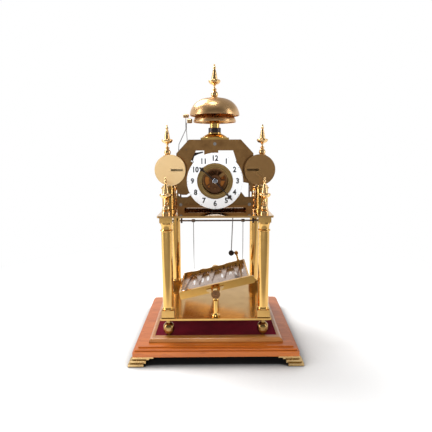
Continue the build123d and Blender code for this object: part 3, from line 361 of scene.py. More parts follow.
# ---------------------------------------------------------------- finishes
def use_group(tree: Tree, group: Tree, values: Mapping[str, Value]) -> Mapping[str, Socket]:
    """Put a shared group into a material.

    Args:
        tree: The material's node tree.
        group: The shared group.
        values: Name of each input and its value.

    Returns:
        What the group puts out.
    """
    node = tree.nodes.new("ShaderNodeGroup")
    node.node_tree = group
    fill(tree, node, values)
    return node.outputs


def new_material(name: str) -> tuple[Material, Node]:
    """Make a node material.

    Args:
        name: Name of the material.

    Returns:
        The material and its shader.
    """
    material = bpy.data.materials.new(name)
    material.use_nodes = True
    return material, material.node_tree.nodes["Principled BSDF"]


@dataclass(frozen=True)
class MetalFinish:
    """A polished or aged metal.

    Attributes:
        name: Name of the material.
        bright: Colour where the metal is clean.
        deep: Colour where it has toned down.
        depth: Share of the deep colour that shows.
        rough: Lowest and highest roughness.
        scale: Size of the tone changes, in cycles per metre.
        bump: Strength of the polishing lines.
        metallic: Share of bare metal; the rest is lacquer with the metal's colour.
        line_depth: Depth of the polishing lines.
    """

    name: str
    bright: Colour
    deep: Colour
    depth: float = 0.35
    rough: Span = (0.12, 0.28)
    scale: float = 60.0
    bump: float = 0.03
    metallic: float = 1.0
    line_depth: float = 0.2

    def colour(self, tree: Tree, plain: Socket) -> Socket:
        """Colour of the piece, from the colour of the plain metal."""
        return plain

    def build(self, group: Tree) -> Material:
        """Make the material.

        Args:
            group: The tarnish group.

        Returns:
            The finished material.
        """
        material, shader = new_material(self.name)
        tree = material.node_tree
        tone = use_group(tree, group, {
            "Bright": self.bright, "Deep": self.deep, "Depth": self.depth, "Scale": self.scale,
            "Rough Low": self.rough[0], "Rough High": self.rough[1],
        })
        fill(tree, shader, {
            "Base Color": self.colour(tree, tone["Color"]),
            "Roughness": tone["Roughness"],
            "Metallic": self.metallic,
        })
        add_bump(tree, tone["Height"], self.bump, self.line_depth)
        return material


@dataclass(frozen=True)
class SplitFinish(MetalFinish):
    """A metal fitted on a rod of another metal: the piece changes colour at one height.

    Attributes:
        rod: Colour of the rod below.
        height: Height of the change.
        blur: Half of the change's own height.
    """

    rod: Colour = (0.2, 0.18, 0.17)
    height: float = 0.0
    blur: float = 0.1

    def colour(self, tree: Tree, plain: Socket) -> Socket:
        """Give the rod its own colour.

        Args:
            tree: The material's node tree.
            plain: Colour of the metal on the rod.

        Returns:
            Colour of the whole piece.
        """
        limits = ((self.height - self.blur) * MM, (self.height + self.blur) * MM)
        above = spread(tree, axis_of(tree, object_place(tree), "Z"), limits, FULL)
        return mix_colour(tree, above, self.rod, plain)


@dataclass(frozen=True)
class BurnishedFinish(MetalFinish):
    """A satin metal with long bright spots painted on as highlights where the lanes catch the light.

    Attributes:
        spot_colour: Colour of a painted highlight spot.
        spots: Middle of each spot.
        spot_reach: Half of a spot's length along each axis.
        spot_edge: Where a spot begins to fade and where it ends, as shares of its reach.
    """

    spot_colour: Colour = (1.0, 0.97, 0.95)
    spots: Sequence[tuple[float, float, float]] = ()
    spot_reach: tuple[float, float, float] = (2.4, 15.0, 4.0)
    spot_edge: Span = (0.75, 1.1)

    def colour(self, tree: Tree, plain: Socket) -> Socket:
        """Paint the highlight spots over the satin metal.

        Args:
            tree: The material's node tree.
            plain: Colour of the satin metal.

        Returns:
            Colour of the whole piece.
        """
        place = object_place(tree)
        reaches = []
        for spot in self.spots:
            offset = calculate_vector(tree, "SUBTRACT", place, Vector(spot) * MM)
            share = calculate_vector(tree, "DIVIDE", offset, Vector(self.spot_reach) * MM)
            reaches.append(calculate_vector(tree, "LENGTH", share))
        nearest = reaches[0]
        for reach in reaches[1:]:
            nearest = calculate(tree, "MINIMUM", nearest, reach)
        # Painted highlights: near-white colour laid over the metal in each spot.
        inside = spread(tree, nearest, self.spot_edge, (1.0, 0.0))
        return mix_colour(tree, inside, plain, self.spot_colour)


@dataclass(frozen=True)
class WoodFinish:
    """Polished wood whose grain runs along one axis.

    Attributes:
        name: Name of the material.
        light: Colour of the wood.
        dark: Colour of its darker figure.
        length: How the figure stretches along each axis.
        quirks: Heights of the moulding's narrow hollows, where shade is painted as dark lines.
        quirk_width: Height of such a painted shade line.
        quirk_colour: Tint of the painted shade.
        polish: Weight and roughness of the clear polish.
        bump: Strength of the pores.
        pore_depth: Depth of the pores.
    """

    name: str
    light: Colour
    dark: Colour
    length: tuple[float, float, float]
    quirks: Sequence[float] = ()
    quirk_width: float = 0.55
    quirk_colour: Colour = (0.30, 0.16, 0.10)
    polish: Span = (0.45, 0.12)
    bump: float = 0.12
    pore_depth: float = 0.3

    def build(self, group: Tree) -> Material:
        """Make the material.

        Args:
            group: The wood grain group.

        Returns:
            The finished material.
        """
        material, shader = new_material(self.name)
        tree = material.node_tree
        grain = use_group(tree, group, {"Light": self.light, "Dark": self.dark, "Length": self.length})
        fill(tree, shader, {
            "Base Color": self.line_quirks(tree, grain["Color"]),
            "Roughness": grain["Roughness"],
            "Coat Weight": self.polish[0],
            "Coat Roughness": self.polish[1],
        })
        add_bump(tree, grain["Height"], self.bump, self.pore_depth)
        return material

    def line_quirks(self, tree: Tree, colour: Socket) -> Socket:
        """Paint shade as dark lines in the moulding's hollows.

        Args:
            tree: The material's node tree.
            colour: Colour of the plain wood.

        Returns:
            The colour with shade painted as dark lines in the hollows.
        """
        height = axis_of(tree, object_place(tree), "Z")
        half = self.quirk_width / 2
        # Each band is painted shade: a dark line multiplied into the wood at one height.
        for shade_height in self.quirks:
            shade_band = calculate(tree, "COMPARE", height, (shade_height + half) * MM, half * MM)
            colour = mix_colour(tree, shade_band, colour, self.quirk_colour, "MULTIPLY")
        return colour


@dataclass(frozen=True)
class PileFinish:
    """Velvet: dark pile with a soft sheen at grazing angles.

    Attributes:
        name: Name of the material.
        light: Colour where the pile leans to the light.
        dark: Colour where it leans away.
        sheen: Colour of the sheen.
        sheen_weight: How much sheen there is.
        sheen_roughness: How wide it spreads.
        roughness: Roughness of the cloth.
        gloss: Plain gloss of the cloth.
        bump: Strength of the tufts.
        tuft_depth: Depth of the tufts.
    """

    name: str
    light: Colour
    dark: Colour
    sheen: Colour
    sheen_weight: float = 0.25
    sheen_roughness: float = 0.4
    roughness: float = 0.95
    gloss: float = 0.1
    bump: float = 0.6
    tuft_depth: float = 0.6

    def build(self, group: Tree) -> Material:
        """Make the material.

        Args:
            group: The cloth pile group.

        Returns:
            The finished material.
        """
        material, shader = new_material(self.name)
        tree = material.node_tree
        pile = use_group(tree, group, {"Light": self.light, "Dark": self.dark})
        fill(tree, shader, {
            "Base Color": pile["Color"],
            "Roughness": self.roughness,
            "Specular IOR Level": self.gloss,
            "Sheen Weight": self.sheen_weight,
            "Sheen Roughness": self.sheen_roughness,
            "Sheen Tint": self.sheen,
        })
        add_bump(tree, pile["Height"], self.bump, self.tuft_depth)
        return material


@dataclass(frozen=True)
class EnamelFinish:
    """Fired enamel or paint: smooth, with a faint unevenness.

    Attributes:
        name: Name of the material.
        colour: Colour of the enamel.
        shade: Colour where it is thinner.
        roughness: Lowest roughness.
        dulling: How much rougher it gets in places.
        depth: Share of the thinner colour that shows.
        scale: Size of the tone changes, in cycles per metre.
        bump: Strength of the unevenness.
        ripple: Depth of the unevenness.
    """

    name: str
    colour: Colour
    shade: Colour
    roughness: float = 0.22
    dulling: float = 0.08
    depth: float = 0.4
    scale: float = 60.0
    bump: float = 0.02
    ripple: float = 0.2

    def build(self, group: Tree) -> Material:
        """Make the material.

        Args:
            group: The tarnish group, which gives its slight tone changes.

        Returns:
            The finished material.
        """
        material, shader = new_material(self.name)
        tree = material.node_tree
        tone = use_group(tree, group, {
            "Bright": self.colour, "Deep": self.shade, "Depth": self.depth, "Scale": self.scale,
            "Rough Low": self.roughness, "Rough High": self.roughness + self.dulling,
        })
        fill(tree, shader, {"Base Color": tone["Color"], "Roughness": tone["Roughness"]})
        add_bump(tree, tone["Height"], self.bump, self.ripple)
        return material


class Finish(Enum):
    """Every finish on the clock."""

    BRASS = MetalFinish("polished_brass", (0.76, 0.48, 0.15), (0.50, 0.28, 0.07), 0.4, (0.07, 0.18))
    COLUMN_BRASS = MetalFinish("column_brass", (0.78, 0.47, 0.15), (0.60, 0.33, 0.08), 0.35, (0.06, 0.13))
    PLATE_BRASS = MetalFinish(
        "plate_brass", (0.60, 0.36, 0.115), (0.46, 0.25, 0.06), 0.4, (0.14, 0.22), 45.0, 0.015)
    MIRROR_PLATE = MetalFinish(
        "mirror_plate", (0.70, 0.42, 0.16), (0.52, 0.28, 0.08), 0.35, (0.03, 0.08), 45.0, 0.005)
    CAP_BRASS = MetalFinish(
        "cap_brass", (0.30, 0.15, 0.07), (0.15, 0.07, 0.03), 0.5, (0.16, 0.26), 90.0, 0.02)
    BELL_BRASS = MetalFinish(
        "bell_brass", (0.68, 0.42, 0.20), (0.50, 0.29, 0.12), 0.4, (0.26, 0.36), 45.0, 0.02)
    # Left drum: lighter colour painted for the light on that side; the right drum is the same brass.
    SATIN_BRASS = MetalFinish(
        "satin_brass_painted_light", (0.70, 0.49, 0.245), (0.60, 0.40, 0.175), 0.4, (0.3, 0.42), 45.0, 0.03, metallic=0.35)
    # Right drum: darker colour painted for the shade on that side; on the dial backing, its own darker tone.
    BROWN_BRASS = MetalFinish(
        "brown_brass_with_painted_shade", (0.25, 0.135, 0.045), (0.19, 0.095, 0.03), 0.4, (0.26, 0.38), 50.0, 0.04, metallic=0.6)
    TRAY_BRASS = MetalFinish(
        "tray_brass", (0.74, 0.42, 0.11), (0.54, 0.27, 0.06), 0.45, (0.1, 0.2), 60.0, 0.02)
    DARK_BRASS = MetalFinish(
        "toned_brass", (0.47, 0.255, 0.095), (0.27, 0.13, 0.045), 0.7, (0.10, 0.22), 75.0, 0.02)
    DEEP_BRASS = MetalFinish(
        "deep_brass", (0.20, 0.095, 0.04), (0.11, 0.045, 0.018), 0.5, (0.2, 0.34), 70.0, 0.03)
    FOOT_BRASS = MetalFinish("foot_brass", (0.40, 0.25, 0.09), (0.24, 0.13, 0.04), 0.5, (0.14, 0.26))
    PALE_BRASS = MetalFinish(
        "pale_brass", (0.80, 0.56, 0.26), (0.56, 0.34, 0.12), 0.5, (0.2, 0.34), 70.0, 0.03)
    GILT = MetalFinish("gilt", (0.92, 0.62, 0.30), (0.62, 0.34, 0.10), 0.4, (0.05, 0.12), 80.0, 0.01)
    COPPER_BRASS = MetalFinish("warm_brass", (0.70, 0.26, 0.06), (0.42, 0.13, 0.03), 0.4, (0.1, 0.24))
    SILVERED = MetalFinish(
        "silvered_brass", (0.56, 0.43, 0.36), (0.34, 0.23, 0.17), 0.5, (0.2, 0.36), 110.0, 0.05)
    # Track plate with a highlight painted at the middle of each lane.
    TRACK = BurnishedFinish(
        "track_painted_highlights", (0.50, 0.37, 0.30), (0.32, 0.21, 0.15), 0.5, (0.14, 0.26), 110.0, 0.03,
        spots=((-37.2, -1.0, 91.8), (-22.6, 3.8, 95.2), (-13.1, 6.0, 97.5), (12.4, 4.6, 103.4),
               (26.8, 4.5, 106.8), (36.6, 2.0, 109.1), (49.5, 0.4, 112.2)))
    HEAD_LARGE = SplitFinish("large_hammer", (0.60, 0.40, 0.20), (0.42, 0.25, 0.1), height=372.0)
    HEAD_SMALL = SplitFinish("small_hammer", (0.60, 0.40, 0.20), (0.42, 0.25, 0.1), height=364.3)
    # Wheels and arbors inside the movement: dark colour painted for the shade they sit in.
    WORKS_BRASS = MetalFinish(
        "works_brass_painted_shade", (0.26, 0.12, 0.055), (0.15, 0.06, 0.025), 0.5, (0.16, 0.3), 90.0, 0.03)
    BEZEL_BRASS = MetalFinish(
        "bezel_brass", (0.52, 0.34, 0.13), (0.36, 0.21, 0.07), 0.4, (0.1, 0.2), 60.0, 0.02)
    BLUE_STEEL = MetalFinish(
        "domed_steel", (0.42, 0.44, 0.50), (0.26, 0.27, 0.32), 0.4, (0.12, 0.2), 90.0, 0.01)
    STEEL = MetalFinish("polished_steel", (0.50, 0.48, 0.47), (0.28, 0.26, 0.25), 0.4, (0.14, 0.28), 90.0)
    WIRE_STEEL = MetalFinish("wire_steel", (0.20, 0.18, 0.17), (0.11, 0.10, 0.10), 0.4, (0.25, 0.4), 90.0)
    DARK_STEEL = MetalFinish(
        "blued_steel", (0.085, 0.065, 0.06), (0.04, 0.03, 0.03), 0.5, (0.25, 0.4), 90.0)
    MIRROR_STEEL = MetalFinish(
        "ball_steel", (0.70, 0.70, 0.70), (0.55, 0.55, 0.55), 0.2, (0.03, 0.08), 90.0, 0.0)
    # The last numbers are heights where shade is painted as dark lines in the moulding.
    PLINTH_WOOD = WoodFinish(
        "plinth_wood", (0.52, 0.135, 0.010), (0.36, 0.08, 0.006), (7.0, 70.0, 70.0), (20.75, 23.85))
    FRAME_WOOD = WoodFinish(
        "frame_wood", (0.42, 0.165, 0.03), (0.29, 0.10, 0.016), (7.0, 70.0, 70.0), (25.95,))
    VELVET = PileFinish("red_velvet", (0.17, 0.006, 0.018), (0.07, 0.002, 0.009), (0.5, 0.06, 0.1))
    ENAMEL = EnamelFinish("white_enamel", (0.83, 0.85, 0.88), (0.77, 0.79, 0.82))
    INK = EnamelFinish("black_enamel", (0.010, 0.009, 0.010), (0.02, 0.018, 0.02), 0.35)


class Workshop:
    """Builds each finish once and hands it out."""

    def __init__(self) -> None:
        """Make the shared node groups."""
        self.groups = {MetalFinish: tarnish_group(), WoodFinish: wood_group(), PileFinish: pile_group()}
        self.groups[EnamelFinish] = self.groups[MetalFinish]
        self.made: dict[Finish, Material] = {}

    def material(self, finish: Finish) -> Material:
        """Build the material of a finish, at its first use.

        Args:
            finish: The finish.

        Returns:
            Its material.
        """
        if finish not in self.made:
            kind = next(kind for kind in self.groups if isinstance(finish.value, kind))
            self.made[finish] = finish.value.build(self.groups[kind])
        return self.made[finish]

    def dress(self, piece: Piece, finish: Finish) -> None:
        """Give a piece one finish."""
        piece.data.materials.clear()
        piece.data.materials.append(self.material(finish))


NODE_FINISHES: dict[Finish, tuple[str, ...]] = {
    Finish.PLINTH_WOOD: ("plinth_case",),
    Finish.FRAME_WOOD: ("plinth_inner_frame",),
    Finish.VELVET: ("velvet_panel",),
    Finish.BRASS: (
        "pivot_posts", "bell_stand", "drum_pillars", "drive_post", "bell_bridge",
    ),
    Finish.COLUMN_BRASS: ("columns", "column_capitals"),
    Finish.PLATE_BRASS: ("base_plate", "column_base_blocks"),
    Finish.MIRROR_PLATE: ("top_plate",),
    Finish.BELL_BRASS: ("bell_large", "bell_small"),
    # The left and right drums are the same brass, given painted light on the left and painted shade on the
    # right.
    Finish.SATIN_BRASS: ("side_drum_left", "drum_cover_left"),
    Finish.BROWN_BRASS: ("side_drum_right", "drum_cover_right", "dial_backing"),
    Finish.TRAY_BRASS: ("table_tray",),
    Finish.DARK_BRASS: ("front_plate",),
    Finish.DEEP_BRASS: ("rear_plate", "movement_pillars"),
    Finish.FOOT_BRASS: ("ball_feet",),
    Finish.PALE_BRASS: ("bracket_feet",),
    Finish.GILT: ("table_trunnions", "corner_finials", "upper_finials", "bell_finial"),
    Finish.COPPER_BRASS: ("going_barrel", "strike_barrel"),
    # Movement wheels and arbors: painted shade.
    Finish.WORKS_BRASS: (
        "centre_arbor", "third_arbor", "pin_wheel", "warning_wheel", "minute_wheel", "hour_wheel",
    ),
    Finish.HEAD_LARGE: ("hammer_large_bell",),
    Finish.HEAD_SMALL: ("hammer_small_bell",),
    Finish.TRACK: ("track_plate",),
    Finish.SILVERED: ("lane_guide",),
    Finish.STEEL: (
        "movement_screws", "cannon_pinion", "going_winding_arbor", "strike_winding_arbor", "fly",
    ),
    Finish.WIRE_STEEL: ("crank_arbor", "connecting_rod", "release_arbor"),
    Finish.DARK_STEEL: (
        "minute_hand", "hour_hand", "strike_detent", "rod_knob", "release_cocks", "bell_collar",
        "going_click", "strike_click",
    ),
    Finish.MIRROR_STEEL: ("steel_ball",),
    Finish.ENAMEL: ("dial_ring",),
}


# ---------------------------------------------------------------- studio
@dataclass(frozen=True)
class SoftBox:
    """A rectangular lamp aimed at the clock.

    Attributes:
        name: Name of the lamp.
        place: Where it hangs.
        size: Width and height.
        power: Power in watts.
        mirrored: Whether polished metal shows it.
        aim: Point that it is aimed at.
    """

    name: str
    place: tuple[float, float, float]
    size: Span
    power: float
    mirrored: bool = True
    aim: tuple[float, float, float] = (0.0, 0.0, 200.0)

    def hang(self) -> None:
        """Add the lamp to the scene."""
        data = bpy.data.lights.new(self.name, "AREA")
        data.shape = "RECTANGLE"
        data.size, data.size_y = self.size[0] * MM, self.size[1] * MM
        data.energy = self.power
        lamp = bpy.data.objects.new(self.name, data)
        bpy.context.scene.collection.objects.link(lamp)
        lamp.location = Vector(self.place) * MM
        lamp.visible_glossy = self.mirrored
        towards = Vector(self.aim) * MM - lamp.location
        lamp.rotation_euler = towards.to_track_quat("-Z", "Y").to_euler()


@dataclass
class Camera:
    """Where the camera stands and looks.

    Attributes:
        place: Where it stands.
        pitch_down: How far it looks down, in radians.
        yaw: Its turn to the left, in radians.
        roll: Its roll, in radians.
        focal_length: Lens, for the sensor's width.
        sensor_width: Width of the sensor.
        clip_start: Nearest distance that it sees.
    """

    place: tuple[float, float, float] = (-2.386, -682.45, 312.72)
    pitch_down: float = 0.1497
    yaw: float = -0.0058
    roll: float = -0.0046
    focal_length: float = 33.472
    sensor_width: float = 36.0
    clip_start: float = 10.0

    def build(self) -> None:
        """Place the camera from its position, pitch, yaw and roll."""
        turn = Vector((math.cos(self.yaw), math.sin(self.yaw), 0))
        level = Vector((-math.sin(self.yaw), math.cos(self.yaw), 0))
        upwards = Vector((0, 0, 1))
        forward = level * math.cos(self.pitch_down) - upwards * math.sin(self.pitch_down)
        upright = level * math.sin(self.pitch_down) + upwards * math.cos(self.pitch_down)
        right = turn * math.cos(self.roll) + upright * math.sin(self.roll)
        up = upright * math.cos(self.roll) - turn * math.sin(self.roll)
        data = bpy.data.cameras.new("camera")
        data.sensor_width = self.sensor_width
        data.lens = self.focal_length
        data.clip_start = self.clip_start * MM
        camera = bpy.data.objects.new("camera", data)
        bpy.context.scene.collection.objects.link(camera)
        basis = Matrix((right, up, -forward)).transposed().to_4x4()
        camera.matrix_world = Matrix.Translation(Vector(self.place) * MM) @ basis
        bpy.context.scene.camera = camera


@dataclass
class Room:
    """White to the camera; to polished metal, a room with a dim front and a white wall behind.

    Attributes:
        light: Strength of the room's light from the front and from the wall behind.
        light_span: Where the one goes over into the other, as a share of the way back.
        mirror_steps: What polished metal shows: place from front to back, and brightness.
        overhead_span: Where the room gets dimmer overhead, as a share of the way up.
        overhead_level: Share of the brightness that is left there.
    """

    light: Span = (0.3, 0.6)
    light_span: Span = (-0.3, 0.6)
    mirror_steps: Sequence[Span] = (
        (0.0, 0.42), (0.04, 0.36), (0.11, 0.22), (0.2, 0.42), (0.35, 0.7), (0.55, 0.75), (0.8, 1.0))
    overhead_span: Span = (0.26, 0.5)
    overhead_level: float = 0.5

    def mirrored(self, tree: Tree, direction: Socket) -> Socket:
        """Work out what polished metal shows of the room.

        Args:
            tree: The world's node tree.
            direction: Direction into the room.

        Returns:
            Brightness of the room.
        """
        along = spread(tree, axis_of(tree, direction, "Y"), (-1.0, 1.0), FULL)
        ramp = tree.nodes.new("ShaderNodeValToRGB")
        tree.links.new(along, ramp.inputs["Fac"])
        steps = ramp.color_ramp.elements
        while len(steps) < len(self.mirror_steps):
            steps.new(0.5)
        for step, (place, level) in zip(steps, self.mirror_steps):
            step.position = place
            step.color = (level, level, level, 1)
        height = axis_of(tree, direction, "Z")
        overhead = spread(tree, height, self.overhead_span, (1.0, self.overhead_level), soft=True)
        return calculate(tree, "MULTIPLY", ramp.outputs["Color"], overhead)

    def build(self) -> None:
        """Make the world."""
        world = bpy.data.worlds.new("studio")
        bpy.context.scene.world = world
        world.use_nodes = True
        tree = world.node_tree
        direction = tree.nodes.new("ShaderNodeTexCoord").outputs["Generated"]
        path = tree.nodes.new("ShaderNodeLightPath").outputs
        light = spread(tree, axis_of(tree, direction, "Y"), self.light_span, self.light, soft=True)
        shown = mix_level(tree, path["Is Glossy Ray"], light, self.mirrored(tree, direction))
        seen = calculate(tree, "MAXIMUM", path["Is Camera Ray"], path["Is Transmission Ray"])
        fill(tree, tree.nodes["Background"], {
            "Color": (1.0, 1.0, 1.0), "Strength": mix_level(tree, seen, shown, 1.0)})


@dataclass
class Floor:
    """Pale paper just under the feet, which runs into the white wall away from the clock.

    Attributes:
        half: Half of the floor's side.
        drop: How far it lies below the feet.
        grey: Colour of the paper.
        contact: Colour of the shadow painted on the paper right under the clock.
        shade_reach: How far from the clock the shadow painted from ambient occlusion reaches.
        shade_span: Share of open sky between which that painted shadow fades.
        dim: Colour of the studio's own floor in front of the paper, as polished metal shows it.
        dim_span: Where the paper ends in front and the dim floor is all there is.
        white_span: Distances from the clock between which the paper runs into the white wall.
        mirror_span: Distances behind the clock between which polished metal shows that wall.
        roughness: Roughness of the paper.
    """

    half: float = 3000.0
    drop: float = 0.1
    grey: float = 0.92
    contact: float = 0.02
    shade_reach: float = 70.0
    shade_span: Span = (0.45, 0.98)
    dim: float = 0.3
    dim_span: Span = (-200.0, -420.0)
    white_span: Span = (300.0, 750.0)
    mirror_span: Span = (200.0, 500.0)
    roughness: float = 0.9

    def far(self, tree: Tree, value: Socket, span: Span, soft: bool = True) -> Socket:
        """Share that grows from 0 to 1 over a span.

        Args:
            tree: The floor's node tree.
            value: Where a point lies, in metres.
            span: Where the share starts and ends.
            soft: Whether it eases in and out.

        Returns:
            The share.
        """
        return spread(tree, value, (span[0] * MM, span[1] * MM), FULL, soft)

    def colour(self, tree: Tree, path: Mapping[str, Socket], back: Socket) -> Socket:
        """Work out the paper's colour, with a shadow painted under the clock from ambient occlusion.

        Args:
            tree: The floor's node tree.
            path: Kinds of ray.
            back: How far back a point lies, in metres.

        Returns:
            The colour.
        """
        # Painted shadow: ambient occlusion near the clock darkens the paper's colour.
        shadow_occlusion = tree.nodes.new("ShaderNodeAmbientOcclusion")
        shadow_occlusion.inputs["Distance"].default_value = self.shade_reach * MM
        paper = spread(tree, shadow_occlusion.outputs["AO"], self.shade_span, (self.contact, self.grey))
        front = calculate(tree, "MULTIPLY", self.far(tree, back, self.dim_span), path["Is Glossy Ray"])
        return mix_level(tree, front, paper, self.dim)

    def whiteness(self, tree: Tree, path: Mapping[str, Socket], place: Socket, back: Socket) -> Socket:
        """Work out how much of the white wall shows in the floor.

        Args:
            tree: The floor's node tree.
            path: Kinds of ray.
            place: Where a point lies, in metres.
            back: How far back it lies, in metres.

        Returns:
            Share of the wall.
        """
        away = self.far(tree, calculate_vector(tree, "LENGTH", place), self.white_span)
        seen = calculate(tree, "MAXIMUM", path["Is Camera Ray"], path["Is Transmission Ray"])
        behind = self.far(tree, back, self.mirror_span, soft=False)
        mirrored = calculate(tree, "MULTIPLY", path["Is Glossy Ray"], behind)
        return calculate(tree, "MULTIPLY", away, calculate(tree, "MAXIMUM", seen, mirrored))

    def build(self) -> None:
        """Lay the floor."""
        bpy.ops.object.select_all(action="DESELECT")
        bpy.ops.mesh.primitive_plane_add(size=2 * self.half * MM, location=(0, 0, -self.drop * MM))
        floor = bpy.context.object
        floor.name = "studio_floor"
        material, shader = new_material("floor_paper")
        tree = material.node_tree
        place = object_place(tree)
        back = axis_of(tree, place, "Y")
        path = tree.nodes.new("ShaderNodeLightPath").outputs
        fill(tree, shader, {
            "Base Color": self.colour(tree, path, back),
            "Roughness": self.roughness,
            "Specular IOR Level": 0.0,
        })
        white = tree.nodes.new("ShaderNodeEmission")
        blend = tree.nodes.new("ShaderNodeMixShader")
        tree.links.new(self.whiteness(tree, path, place, back), blend.inputs[0])
        tree.links.new(shader.outputs["BSDF"], blend.inputs[1])
        tree.links.new(white.outputs["Emission"], blend.inputs[2])
        tree.links.new(blend.outputs["Shader"], tree.nodes["Material Output"].inputs["Surface"])
        floor.data.materials.append(material)


@dataclass
class Studio:
    """The view, the room, the soft lights and the floor.

    Attributes:
        lamps: The soft boxes.
    """

    lamps: Sequence[SoftBox] = (
        SoftBox("key", (-650.0, 560.0, 1350.0), (600.0, 600.0), 20.0),
        SoftBox("left_box", (-1300.0, -330.0, 520.0), (200.0, 1300.0), 7.0),
        SoftBox("right_box", (1350.0, -420.0, 520.0), (160.0, 1300.0), 4.0),
        SoftBox("top_box", (-150.0, -260.0, 1900.0), (520.0, 260.0), 7.0),
        SoftBox("front_fill", (-260.0, -1500.0, 560.0), (900.0, 700.0), 14.0, False),
    )

    def build(self) -> None:
        """Set up everything but the clock."""
        bpy.context.scene.view_settings.view_transform = "Standard"
        Camera().build()
        Room().build()
        for lamp in self.lamps:
            lamp.hang()
        Floor().build()
        log.info("studio with %d lamps", len(self.lamps))


# ---------------------------------------------------------------- modelling helpers
def select_only(piece: Piece) -> None:
    """Make one object the only selected and active one.

    Args:
        piece: The object.
    """
    bpy.ops.object.select_all(action="DESELECT")
    piece.select_set(True)
    bpy.context.view_layer.objects.active = piece


def settle(piece: Piece) -> Piece:
    """Move an object's place, turn and scale into its mesh.

    Args:
        piece: The object.

    Returns:
        The same object, at the origin.
    """
    select_only(piece)
    bpy.ops.object.transform_apply(location=True, rotation=True, scale=True)
    return piece


def copy_of(piece: Piece) -> Piece:
    """Copy a piece.

    Args:
        piece: The piece.

    Returns:
        A copy with a mesh of its own.
    """
    twin = piece.copy()
    twin.data = piece.data.copy()
    bpy.context.scene.collection.objects.link(twin)
    return twin


def join_all(pieces: Iterable[Piece], name: str) -> Piece:
    """Join finished pieces into one object.

    Args:
        pieces: Objects to join; the first one is kept.
        name: Name of the joined object.

    Returns:
        The joined object.
    """
    pieces = list(pieces)
    bpy.ops.object.select_all(action="DESELECT")
    for piece in pieces:
        piece.select_set(True)
    bpy.context.view_layer.objects.active = pieces[0]
    bpy.ops.object.join()
    joined = bpy.context.object
    joined.name = joined.data.name = name
    return settle(joined)


def tidy_mesh(piece: Piece, merge: float = 0.01) -> None:
    """Merge doubles and turn every face outwards.

    Args:
        piece: The piece.
        merge: Distance within which points become one, in millimetres.
    """
    select_only(piece)
    bpy.ops.object.mode_set(mode="EDIT")
    bpy.ops.mesh.select_all(action="SELECT")
    bpy.ops.mesh.remove_doubles(threshold=merge * MM)
    bpy.ops.mesh.normals_make_consistent(inside=False)
    bpy.ops.object.mode_set(mode="OBJECT")


def smooth(piece: Piece, degrees: float = 40.0) -> None:
    """Shade a piece smooth except at edges sharper than some degrees."""
    select_only(piece)
    bpy.ops.object.shade_smooth_by_angle(angle=math.radians(degrees))


def lathe(name: str, profile: Sequence[Span], place: Vector, vertices: int) -> Piece:
    """Turn a piece about an axis that points to the front.

    Args:
        name: Name of the piece.
        profile: Radius and reach to the front at each step; a last radius of 0 closes it.
        place: Point on its axis, in metres.
        vertices: Steps round the axis.

    Returns:
        The turned piece, in place.
    """
    bpy.ops.object.select_all(action="DESELECT")
    radius, reach = profile[0]
    bpy.ops.mesh.primitive_circle_add(vertices=vertices, radius=radius * MM, location=(0, 0, reach * MM))
    piece = bpy.context.object
    bpy.ops.object.mode_set(mode="EDIT")
    bpy.ops.mesh.select_all(action="SELECT")
    for next_radius, next_reach in profile[1:]:
        step = (0, 0, (next_reach - reach) * MM)
        bpy.ops.mesh.extrude_edges_move(TRANSFORM_OT_translate={"value": step})
        if next_radius > 0:
            scale = next_radius / radius
            bpy.ops.transform.resize(value=(scale, scale, 1), center_override=(0, 0, next_reach * MM))
        else:
            bpy.ops.mesh.merge(type="CENTER")
        radius, reach = next_radius, next_reach
    bpy.ops.object.mode_set(mode="OBJECT")
    piece.name = piece.data.name = name
    piece.rotation_euler = (math.pi / 2, 0, 0)
    piece.location = place
    settle(piece)
    tidy_mesh(piece)
    smooth(piece)
    return piece


# ---------------------------------------------------------------- dial
@dataclass
class DialCentre:
    """Turned bezel inside the chapter ring and the domed steel cap on the minute hand.

    Attributes:
        centre_z: Height of the dial's centre.
        bezel: Profile of the bezel.
        bezel_steps: Steps round the bezel.
        cap: Profile of the cap.
        cap_steps: Steps round the cap.
    """

    centre_z: float = 272.8
    bezel: Sequence[Span] = (
        (28.0, -0.1), (28.0, 0.22), (27.8, 0.36), (27.4, 0.42), (27.0, 0.36), (26.8, 0.16), (26.4, 0.04),
        (24.4, 0.12), (22.4, 0.04), (21.9, 0.16), (21.7, 0.36), (21.3, 0.42), (20.8, 0.36), (20.6, 0.2),
        (20.55, -0.1),
    )
    bezel_steps: int = 96
    cap: Sequence[Span] = (
        (4.2, -0.2), (4.4, 0.1), (4.4, 0.5), (4.1, 1.1), (3.5, 1.6), (2.6, 2.0), (1.5, 2.25), (0.6, 2.35),
        (0.0, 2.38),
    )
    cap_steps: int = 48

    def build(self, workshop: Workshop) -> None:
        """Model the bezel on the clock and the cap on the minute hand.

        Args:
            workshop: Gives the finishes.
        """
        ring_front = Vector((0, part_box("dial_backing")[0].y, self.centre_z * MM))
        bezel = lathe("dial_bezel", self.bezel, ring_front, self.bezel_steps)
        workshop.dress(bezel, Finish.BEZEL_BRASS)
        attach(bezel, ROOT_BODY)
        hand_front = Vector((0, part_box("minute_hand")[0].y, self.centre_z * MM))
        cap = lathe("hand_cap", self.cap, hand_front, self.cap_steps)
        workshop.dress(cap, Finish.BLUE_STEEL)
        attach(cap, "minute")
        log.info("dial bezel and hand cap")


